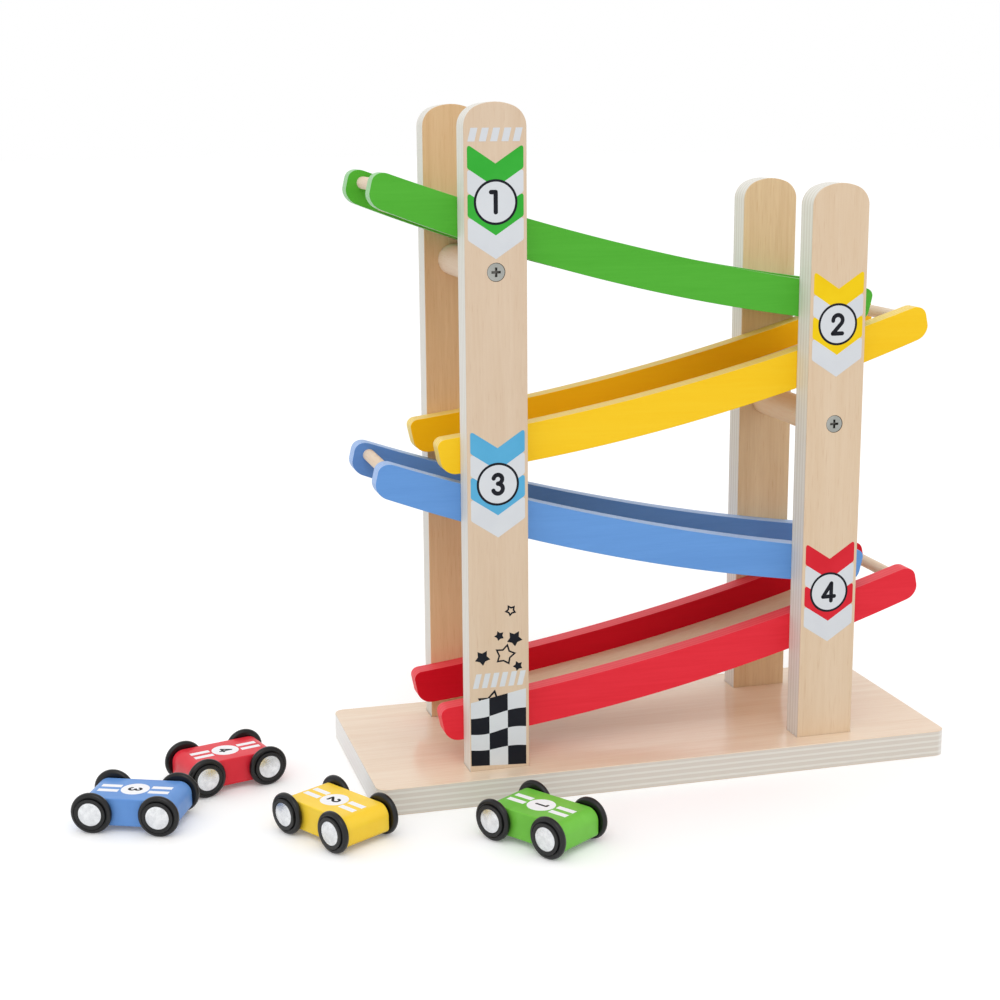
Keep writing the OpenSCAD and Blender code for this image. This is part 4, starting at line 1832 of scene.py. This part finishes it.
@dataclass
class Car:
    """One car: a painted body with a printed roof, wheels, axles and bright hub caps."""

    colour: str
    digit: Digit
    body_length: float = 41.4 * MM
    body_width: float = 23.0 * MM
    body_height: float = 12.0 * MM
    ground_gap: float = 2.7 * MM
    roof_radius: float = 5.2 * MM
    sill_radius: float = 2.2 * MM
    round_segments: int = 12
    arris: float = 0.5 * MM
    roundel_radius: float = 6.0 * MM
    roundel_sides: int = 64
    number_height: float = 6.0 * MM
    number_stroke: float = 1.2 * MM
    stripe_start: float = 6.6 * MM
    stripe_end: float = 15.4 * MM
    stripe_inner: float = 1.2 * MM
    stripe_outer: float = 3.9 * MM
    stripe_film: float = 0.04 * MM
    roundel_film: float = 0.05 * MM
    shop: PrintShop = PrintShop()
    wheel: WheelForm = WheelForm()

    @property
    def name(self) -> str:
        """Name of the car's body in the frame."""
        return f"{self.colour}_car"

    def place(self) -> Matrix:
        """Where the car stands: its middle on the ground, with its own x along its heading.

        Returns:
            The car's place.
        """
        axles = {j["name"]: Vector(j["pos_m"]) for j in frame["joints"] if j["type"] == "hinge"}
        front, rear = axles[f"{self.name}_front_spin"], axles[f"{self.name}_rear_spin"]
        ahead, middle = front - rear, (front + rear) / 2
        turn = Matrix.Rotation(math.atan2(ahead.y, ahead.x), 4, "Z")
        return Matrix.Translation((middle.x, middle.y, 0)) @ turn

    def body(self) -> None:
        """Shape and dress the body block."""
        length, width = self.body_length / 2, self.body_width / 2
        low = Vector((-length, -width, self.ground_gap))
        high = Vector((length, width, self.ground_gap + self.body_height))
        block = Bench.block(f"{self.name}_body_dressed", low, high)
        for z, radius in ((high.z, self.roof_radius), (low.z, self.sill_radius)):
            Bench.round_edges(
                block, lambda c: at_height(z)(c) and abs(c[0].y - c[1].y) > width,
                radius, self.round_segments)
        Bench.soften(block, self.arris)
        block.data.transform(self.place())
        CAR_PAINTS[self.colour].dress(block)
        Bench.hand_over(block, self.name, [f"{self.name}_body"], f"{self.name}_paint")

    def roof_print(self) -> None:
        """Print the roof's stripes and its numbered roundel."""
        films = []
        length = self.stripe_end - self.stripe_start
        width = self.stripe_outer - self.stripe_inner
        for x, y in ((-1, -1), (-1, 1), (1, -1), (1, 1)):
            films.append(self.shop.film(
                self.shop.bar(length, width, 0.0), self.stripe_film, ROOF_INK,
                x * (self.stripe_start + length / 2), y * (self.stripe_inner + width / 2)))
        roundel = Bench.disc("roundel", self.roundel_radius, self.roundel_sides)
        films.append(self.shop.film(roundel, self.roundel_film, ROOF_INK))
        number = self.shop.number(
            self.digit, self.number_height, self.number_stroke, self.roundel_film)
        number.data.transform(Matrix.Rotation(-QUARTER_TURN, 4, "Z"))
        printed = Bench.join(f"{self.name}_roof_print", films + [number])
        roof = Matrix.Translation((0, 0, self.ground_gap + self.body_height))
        printed.data.transform(self.place() @ roof)
        Bench.hand_over(printed, self.name)

    def hub_place(self, ahead: int, left: int) -> Matrix:
        """Where a wheel's inner face is centred and how it is turned, its own z outwards.

        Args:
            ahead: 1 for a front wheel and -1 for a rear one.
            left: 1 for a left wheel and -1 for a right one.

        Returns:
            The wheel's place on the standing car.
        """
        x = self.wheel.wheelbase / 2 * ahead
        y = (self.body_width / 2 + self.wheel.gap) * left
        hub = Matrix.Translation((x, y, self.wheel.radius))
        return self.place() @ hub @ Matrix.Rotation(-left * QUARTER_TURN, 4, "X")

    def wheels(self, tyre: Piece, cap: Piece) -> None:
        """Copy the wheel and the hub cap to the ends of both axles and dress the axles.

        Args:
            tyre: The wheel that all cars copy.
            cap: The hub cap that all cars copy.
        """
        for end, ahead in (("front", 1), ("rear", -1)):
            body = f"{self.name}_{end}_wheels"
            caps = []
            for hand, left in (("left", 1), ("right", -1)):
                place = self.hub_place(ahead, left)
                node = f"{self.name}_{end}_{hand}_wheel"
                wheel = Bench.twin(tyre, f"{node}_dressed", place)
                TYRE.dress(wheel)
                Bench.hand_over(wheel, body, [node], "wheel_plastic")
                caps.append(Bench.twin(cap, "cap_copy", place))
            node = f"{self.name}_{end}_hub_caps"
            pair = Bench.join(f"{node}_dressed", caps)
            HUB.dress(pair)
            Bench.hand_over(pair, body, [node], "hub_chrome")
            AXLE.dress(frame["nodes"][f"{self.name}_{end}_axle"])

    def build(self, tyre: Piece, cap: Piece) -> None:
        """Build the whole car.

        Args:
            tyre: The wheel that all cars copy.
            cap: The hub cap that all cars copy.
        """
        self.body()
        self.roof_print()
        self.wheels(tyre, cap)


@dataclass(frozen=True)
class Cars:
    """The four cars, which stand beside the track."""

    wheel: WheelForm = WheelForm()

    NUMBERS = {"blue": Digit.THREE, "red": Digit.FOUR, "yellow": Digit.TWO, "green": Digit.ONE}

    def build(self) -> None:
        """Turn one wheel and one hub cap and build every car with copies of them."""
        tyre, cap = self.wheel.tyre(), self.wheel.cap()
        for colour, digit in self.NUMBERS.items():
            Car(colour, digit).build(tyre, cap)
        for blank in (tyre, cap):
            bpy.data.objects.remove(blank, do_unlink=True)


@dataclass(frozen=True)
class Studio:
    """The camera at the photograph's view, a white floor and soft studio light."""

    eye: Triple = (-262.387 * MM, -733.485 * MM, 286.491 * MM)
    yaw: float = 0.26379
    pitch: float = 0.21329
    roll: float = -0.00766
    lens: float = 62.543
    sensor: float = 36.0
    clip: tuple[float, float] = (0.01, 100.0)
    floor_size: float = 30.0
    sky: float = 0.96
    key_power: float = 9.5
    key_size: float = 1.6
    key_place: Triple = (-0.6, -1.6, 1.9)
    key_aim: Triple = (0.0, 0.0, 0.12)

    def camera(self) -> None:
        """Set up the camera."""
        data = bpy.data.cameras.new("photo_camera")
        data.lens = self.lens
        data.sensor_width = self.sensor
        data.clip_start, data.clip_end = self.clip
        camera = Bench.add("photo_camera", data)
        level = Vector((math.cos(self.yaw), -math.sin(self.yaw), 0))
        heading = Vector((math.sin(self.yaw), math.cos(self.yaw), 0))
        ahead = math.cos(self.pitch) * heading - math.sin(self.pitch) * Vector((0, 0, 1))
        up = level.cross(ahead)
        right = math.cos(self.roll) * level + math.sin(self.roll) * up
        up = math.cos(self.roll) * up - math.sin(self.roll) * level
        turn = Matrix((right, up, -ahead)).transposed().to_4x4()
        camera.matrix_world = Matrix.Translation(self.eye) @ turn
        bpy.context.scene.camera = camera

    def world(self) -> None:
        """Set up an even sky that looks white."""
        world = bpy.data.worlds.new("studio")
        world.use_nodes = True
        bpy.context.scene.world = world
        graph = Graph(world.node_tree)
        strength = graph.spread(graph.seen(), 0.0, 1.0, self.sky, 1.0)
        background = world.node_tree.nodes["Background"]
        graph.feed(background, {"Color": WHITE, "Strength": strength})

    def floor(self) -> None:
        """Lay a white floor that keeps the toy's shadow."""
        floor = Bench.plate("studio_floor", self.floor_size, self.floor_size)
        FloorFinish().dress(floor)

    def lamp(self) -> None:
        """Hang one large soft lamp to the upper left."""
        data = bpy.data.lights.new("key_lamp", "AREA")
        data.shape = "DISK"
        data.size = self.key_size
        data.energy = self.key_power
        lamp = Bench.add("key_lamp", data)
        lamp.location = self.key_place
        aim = Vector(self.key_aim) - Vector(self.key_place)
        lamp.rotation_euler = aim.to_track_quat("-Z", "Y").to_euler()

    def build(self) -> None:
        """Set up the whole studio."""
        bpy.context.scene.view_settings.view_transform = "Standard"
        self.camera()
        self.world()
        self.floor()
        self.lamp()


def main() -> None:
    """Build the studio, the frame, the ramps, the prints and the cars."""
    logging.basicConfig(level=logging.INFO, format="%(name)s: %(message)s")
    Studio().build()
    BaseBoard().build()
    for (side, face), ply in POST_PLIES.items():
        Post(side, face, ply).build()
    Dowel("left_spreader").build()
    # The right spreader carries painted light.
    Dowel("right_spreader", PAINTED_LIGHT_DOWEL_WOOD).build()
    FrameScrews().build()
    Ramps().build()
    left_badges = (Badge("green", Digit.ONE, 255.4), Badge("blue", Digit.THREE, 138.5))
    PostPrint(Side.LEFT, left_badges, with_flag=True).build()
    right_badges = (Badge("yellow", Digit.TWO, 200.1), Badge("red", Digit.FOUR, 79.5))
    PostPrint(Side.RIGHT, right_badges).build()
    Cars().build()


if __name__ == "__main__":
    main()
